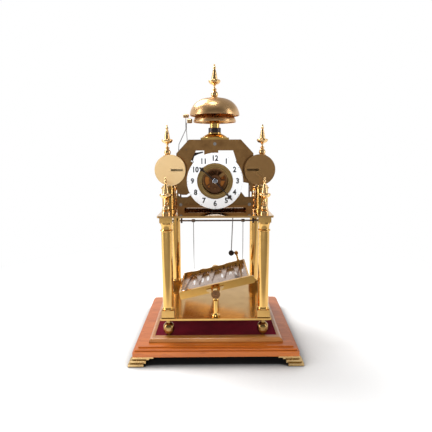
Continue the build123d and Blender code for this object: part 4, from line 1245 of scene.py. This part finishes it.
@dataclass
class NumeralRing:
    """Black fired numerals and minute dots on the enamel ring.

    Attributes:
        centre_z: Height of the dial's centre.
        numeral_circle: Radius on which the numerals stand.
        numeral_height: Height of a numeral.
        numeral_width: Width of a numeral as a share of its plain width.
        font_size: Size of the lettering as a share of a numeral's height.
        boldness: How far a numeral's strokes grow to each side.
        curve_steps: Steps in each curve of a numeral.
        dot_circle: Radius of the minute dots.
        dot_radius: Radius of a minute dot.
        hour_dot: Size of an hour's dot as a share of a minute's.
        dot_steps: Steps round a dot.
        thickness: How far the black stands above the enamel and into it, together.
    """

    centre_z: float = 272.8
    numeral_circle: float = 35.4
    numeral_height: float = 8.2
    numeral_width: float = 0.92
    font_size: float = 1.38
    boldness: float = 0.46
    curve_steps: int = 4
    dot_circle: float = 42.6
    dot_radius: float = 0.32
    hour_dot: float = 1.5
    dot_steps: int = 10
    thickness: float = 0.1

    def spot(self, radius: float, minutes: float) -> Vector:
        """Find a place on the ring's front.

        Args:
            radius: Its distance from the dial's centre.
            minutes: The minute mark that it lies at.

        Returns:
            The place, in metres.
        """
        turn = math.tau * minutes / MINUTES
        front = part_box("dial_ring")[0].y
        return Vector((radius * math.sin(turn) * MM, front, (self.centre_z + radius * math.cos(turn)) * MM))

    def numeral(self, hour: int) -> Piece:
        """Model one upright numeral.

        Args:
            hour: The hour that it shows.

        Returns:
            The numeral as a mesh, in place.
        """
        bpy.ops.object.select_all(action="DESELECT")
        bpy.ops.object.text_add()
        text = bpy.context.object.data
        text.body = str(hour)
        text.align_x = text.align_y = "CENTER"
        text.size = self.numeral_height * self.font_size * MM
        text.extrude = self.thickness / 2 * MM
        text.offset = self.boldness * MM
        text.resolution_u = self.curve_steps
        bpy.ops.object.convert(target="MESH")
        piece = bpy.context.object
        piece.rotation_euler = (math.pi / 2, 0, 0)
        piece.scale = (self.numeral_width, 1, 1)
        piece.location = self.spot(self.numeral_circle, hour * MINUTES_PER_NUMERAL)
        return settle(piece)

    def dots(self) -> list[Piece]:
        """Model one dot and copy it to every minute, larger at the hours.

        Returns:
            The sixty dots, in place.
        """
        bpy.ops.object.select_all(action="DESELECT")
        bpy.ops.mesh.primitive_cylinder_add(
            vertices=self.dot_steps, radius=self.dot_radius * MM, depth=self.thickness * MM,
            rotation=(math.pi / 2, 0, 0))
        first = settle(bpy.context.object)
        dots = [first] + [copy_of(first) for _ in range(1, MINUTES)]
        for minute, dot in enumerate(dots):
            size = self.hour_dot if minute % MINUTES_PER_NUMERAL == 0 else 1.0
            dot.scale = (size, 1, size)
            dot.location = self.spot(self.dot_circle, minute)
        return [settle(dot) for dot in dots]

    def build(self, workshop: Workshop) -> None:
        """Model all the black work as one piece on the ring.

        Args:
            workshop: Gives the finish.
        """
        hours = MINUTES // MINUTES_PER_NUMERAL
        numerals = [self.numeral(hour + 1) for hour in range(hours)]
        ink = join_all(numerals + self.dots(), "dial_numerals")
        workshop.dress(ink, Finish.INK)
        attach(ink, ROOT_BODY)
        log.info("%d numerals", len(numerals))


# ---------------------------------------------------------------- tilting table
@dataclass
class TableTrim:
    """Turned cap on the front pivot and the dark screws that hold the lane guide.

    Attributes:
        pivot_z: Height of the table's pivot.
        tilt: Slope of the table at rest, in degrees.
        cap: Profile of the pivot's cap.
        cap_steps: Steps round the cap.
        cap_seat: How far the cap sits over the pivot's boss.
        screw_rows: Each row's place from front to back, and its screws' places along the table.
        deck: Height of the lane guide's top above the pivot, before the table is tilted.
        screw_radius: Radius of a screw head.
        screw_height: Height of a screw head.
        screw_steps: Steps round a screw head.
        screw_stand: Height of a screw head's middle above the deck.
        screw_insets: Width and depth of the steps in a screw head's face.
        screw_edge: Angle past which an edge of a screw head stays sharp, in degrees.
    """

    pivot_z: float = 99.0
    tilt: float = 13.2
    cap: Sequence[Span] = (
        (6.6, -0.3), (6.9, 0.2), (6.8, 0.7), (6.3, 0.95), (5.6, 0.85), (5.3, 0.45), (4.5, 0.45), (4.2, 0.9),
        (3.6, 1.1), (3.0, 1.0), (2.7, 0.6), (1.8, 0.6), (1.6, 1.1), (1.1, 1.35), (0.0, 1.45),
    )
    cap_steps: int = 48
    cap_seat: float = 0.4
    screw_rows: Sequence[tuple[float, Sequence[float]]] = (
        (-52.0, (-39.7, -17.0, 5.7, 28.3)), (37.5, (-28.3, -5.7, 17.0, 39.7)))
    deck: float = 3.4
    screw_radius: float = 1.7
    screw_height: float = 0.6
    screw_steps: int = 20
    screw_stand: float = 0.2
    screw_insets: Sequence[Span] = ((0.35, 0.25), (0.5, 0.1))
    screw_edge: float = 35.0

    def on_table(self, along: float, y: float, height: float) -> Vector:
        """Find a place on the tilted table.

        Args:
            along: Its place along the level table.
            y: Its place from front to back.
            height: Its height above the pivot on the level table.

        Returns:
            The place, in metres.
        """
        turn = math.radians(self.tilt)
        x = along * math.cos(turn) - height * math.sin(turn)
        z = self.pivot_z + along * math.sin(turn) + height * math.cos(turn)
        return Vector((x, y, z)) * MM

    def screw(self) -> Piece:
        """Model one screw head with a stepped face.

        Returns:
            The screw head, at the origin.
        """
        bpy.ops.object.select_all(action="DESELECT")
        bpy.ops.mesh.primitive_cylinder_add(
            vertices=self.screw_steps, radius=self.screw_radius * MM, depth=self.screw_height * MM)
        head = bpy.context.object
        bpy.ops.object.mode_set(mode="EDIT")
        bpy.ops.mesh.select_all(action="DESELECT")
        bpy.ops.object.mode_set(mode="OBJECT")
        for face in head.data.polygons:
            face.select = face.normal.z > FACING
        bpy.ops.object.mode_set(mode="EDIT")
        for width, depth in self.screw_insets:
            bpy.ops.mesh.inset(thickness=width * MM, depth=depth * MM)
        bpy.ops.object.mode_set(mode="OBJECT")
        return head

    def screws(self) -> list[Piece]:
        """Copy one screw head to every place along both rows.

        Returns:
            The screw heads, in place.
        """
        places = [(along, y) for y, row in self.screw_rows for along in row]
        first = self.screw()
        heads = [first] + [copy_of(first) for _ in places[1:]]
        for head, (along, y) in zip(heads, places):
            head.rotation_euler = (0, -math.radians(self.tilt), 0)
            head.location = self.on_table(along, y, self.deck + self.screw_stand)
        return [settle(head) for head in heads]

    def build(self, workshop: Workshop) -> None:
        """Model the cap on the pivot's boss and the screws on the table.

        Args:
            workshop: Gives the finishes.
        """
        boss_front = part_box("table_trunnions")[0].y + self.cap_seat * MM
        cap = lathe("pivot_cap", self.cap, Vector((0, boss_front, self.pivot_z * MM)), self.cap_steps)
        workshop.dress(cap, Finish.CAP_BRASS)
        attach(cap, ROOT_BODY)
        screws = join_all(self.screws(), "lane_screws")
        tidy_mesh(screws)
        smooth(screws, self.screw_edge)
        workshop.dress(screws, Finish.DARK_STEEL)
        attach(screws, "table")
        log.info("pivot cap and lane screws")


# ---------------------------------------------------------------- assembly
def dress_frame(nodes: Mapping[str, Piece], workshop: Workshop) -> None:
    """Give every carried node its finish.

    Args:
        nodes: The nodes by name.
        workshop: Gives the finishes.
    """
    for finish, names in NODE_FINISHES.items():
        for name in names:
            workshop.dress(nodes[name], finish)
    log.info("%d nodes dressed", sum(len(names) for names in NODE_FINISHES.values()))


def main() -> None:
    """Build the scene in order."""
    logging.basicConfig(level=logging.INFO)
    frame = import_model()
    Studio().build()
    workshop = Workshop()
    dress_frame(frame["nodes"], workshop)
    for assembly in (NumeralRing(), DialCentre(), TableTrim()):
        assembly.build(workshop)


if __name__ == "__main__":
    main()
